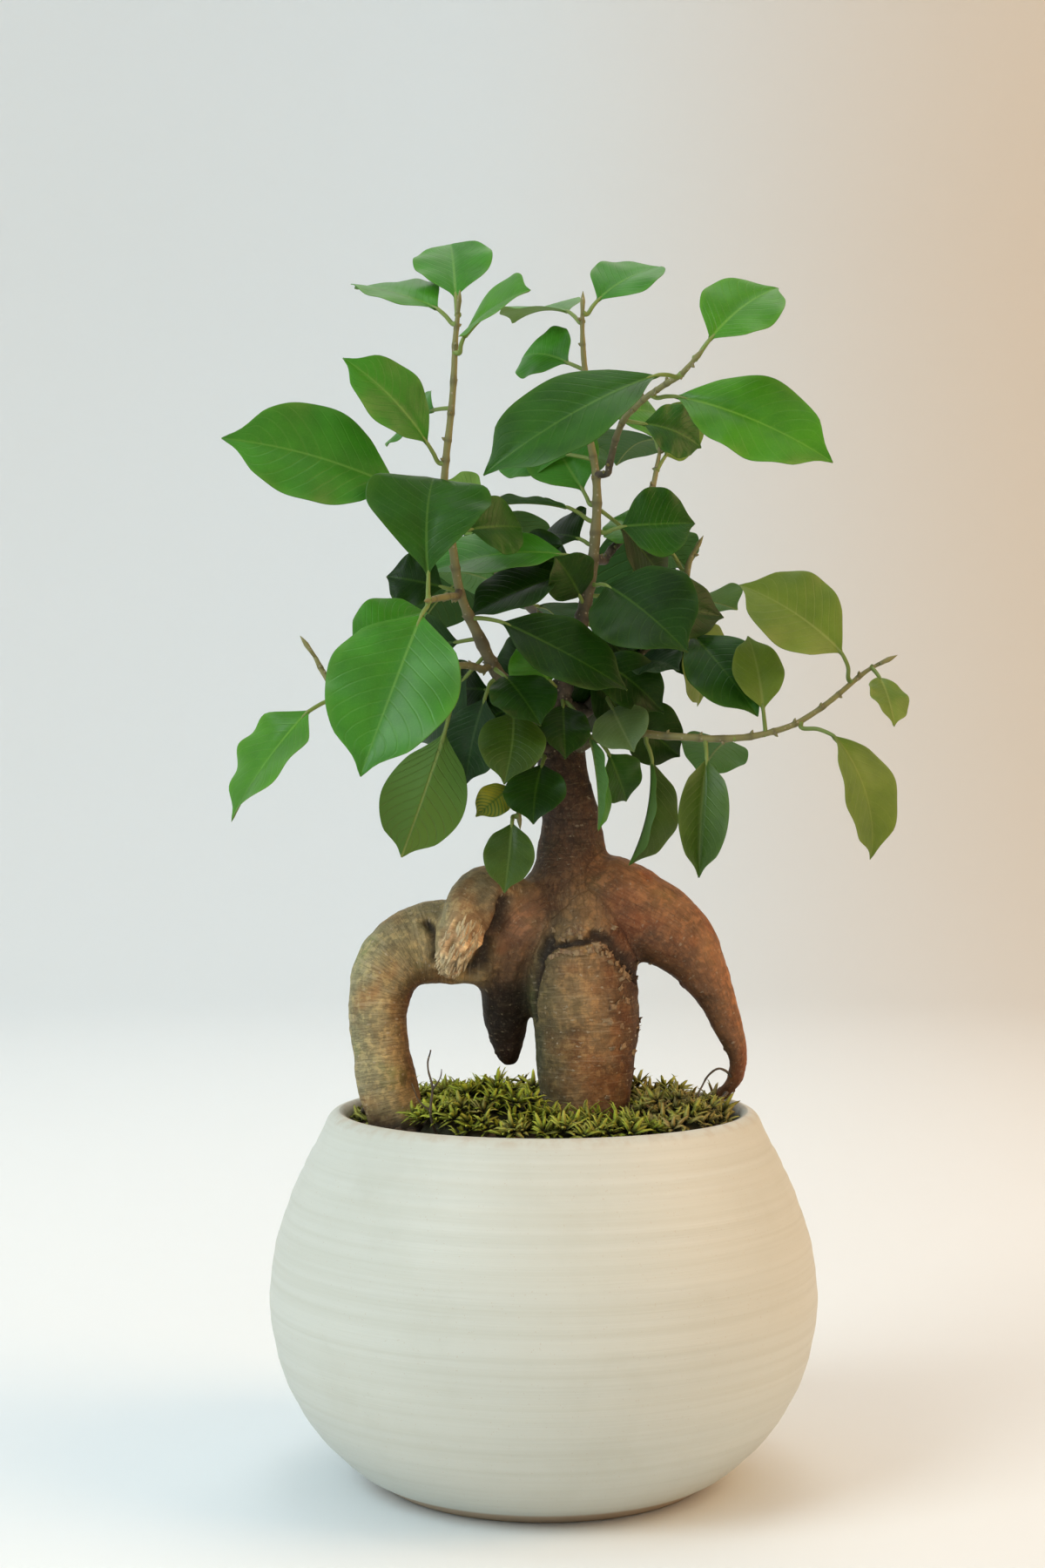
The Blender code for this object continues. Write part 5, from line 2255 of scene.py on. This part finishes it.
@dataclass
class Studio:
    """A plain pale floor that turns up all round, soft light, and the camera."""

    finish: FloorFinish
    flat_radius: float = 1500.0
    turn_radius: float = 900.0
    wall_height: float = 3200.0
    first_ring: float = 60.0
    flat_rings: int = 20
    turn_rings: int = 24
    sides: int = 96
    camera_place: Point = (-0.006, -0.680, 0.198)
    lens: float = 54.4
    target: Point = (0.0, 0.0, 0.18)
    lamps: tuple[Lamp, ...] = (
        Lamp("window", (-1.5, -1.2, 1.6), 1.2, 8.6, (0.86, 0.96, 1.0)),
        Lamp("warm_side", (1.6, -0.45, 1.25), 1.2, 6.2, (1.0, 0.62, 0.33)),
        Lamp("top_back", (0.2, 1.3, 2.1), 1.5, 2.4, (1.0, 0.95, 0.88)),
    )
    washes: int = 6
    wash_height: float = 2.3
    wash_reach: Point = (2.6, 2.6, 0.75)
    wash_watts: float = 4.9
    wash_size: float = 0.8
    wash_stand: float = 0.25
    wash_colour: Colour = (0.96, 1.0, 1.0)
    wash_spread: float = 130.0
    sky: Colour = (0.90, 0.965, 1.0)
    sky_strength: float = 0.59

    def build(self) -> None:
        """Lay the floor, hang the lamps and set up the camera."""
        turn = np.linspace(0, math.pi / 2, self.turn_rings)
        bend = np.column_stack([
            self.flat_radius + self.turn_radius * np.sin(turn),
            self.turn_radius * (1 - np.cos(turn)),
        ])
        reach = np.linspace(self.first_ring, self.flat_radius, self.flat_rings)[:-1]
        flat = np.column_stack([reach, np.zeros(len(reach))])
        wall = [(self.flat_radius + self.turn_radius, self.wall_height)]
        profile = np.vstack([flat, bend, wall])
        angle = np.arange(self.sides) * math.tau / self.sides
        rings = np.empty((len(profile), self.sides, 3))
        rings[..., 0] = profile[:, :1] * np.cos(angle)
        rings[..., 1] = profile[:, :1] * np.sin(angle)
        rings[..., 2] = profile[:, 1:]
        shape = Shape()
        points = np.vstack([rings.reshape(-1, 3), [(0.0, 0.0, 0.0)]])
        faces = grid_faces(len(profile), self.sides, closed=True)
        faces += [(len(points) - 1, i, (i + 1) % self.sides) for i in range(self.sides)]
        shape.add(points, faces)
        floor = in_scene("studio_floor", shape.mesh("studio_floor", mend=True))
        floor.data.materials.append(self.finish.material())
        for lamp in self.lamps:
            lamp.build(self.target)
        for number in range(self.washes):
            turn = math.tau * (number + 0.5) / self.washes
            way = np.array((math.cos(turn), math.sin(turn), 1.0))
            place = tuple(way * (self.wash_stand, self.wash_stand, self.wash_height))
            wash = Lamp(
                f"wash_{number}", place, self.wash_size, self.wash_watts, self.wash_colour,
                self.wash_spread,
            )
            wash.build(tuple(way * self.wash_reach))
        world = bpy.data.worlds.new("soft_sky")
        world.use_nodes = True
        sky = world.node_tree.nodes["Background"]
        sky.inputs["Color"].default_value = (*self.sky, 1.0)
        sky.inputs["Strength"].default_value = self.sky_strength
        bpy.context.scene.world = world
        bpy.context.scene.view_settings.view_transform = "Standard"
        camera = in_scene("camera", bpy.data.cameras.new("camera"))
        camera.data.lens = self.lens
        camera.location = self.camera_place
        camera.rotation_euler = (math.pi / 2, 0.0, 0.0)
        bpy.context.scene.camera = camera


def main() -> None:
    """Build every sub-assembly in order."""
    logging.basicConfig(level=logging.INFO, format="%(name)s: %(message)s")
    Studio(FloorFinish()).build()
    Pot(CeramicFinish()).build()
    soil = Soil(SoilFinish())
    soil.build()
    dry_bark = WoodFinish(pale=(0.33, 0.23, 0.12), tan=(0.17, 0.09, 0.045))
    stock = Stock(BarkFinish(), WoodFinish(), dry_bark)
    stock.build()
    Moss(MossFinish(), soil, stock.surface).build()
    shoots = Shoots(StemFinish(), stock)
    shoots.read_back()
    shoots.build()
    Foliage(shoots).build()
    Litter(StemFinish()).build()


if __name__ == "__main__":
    main()
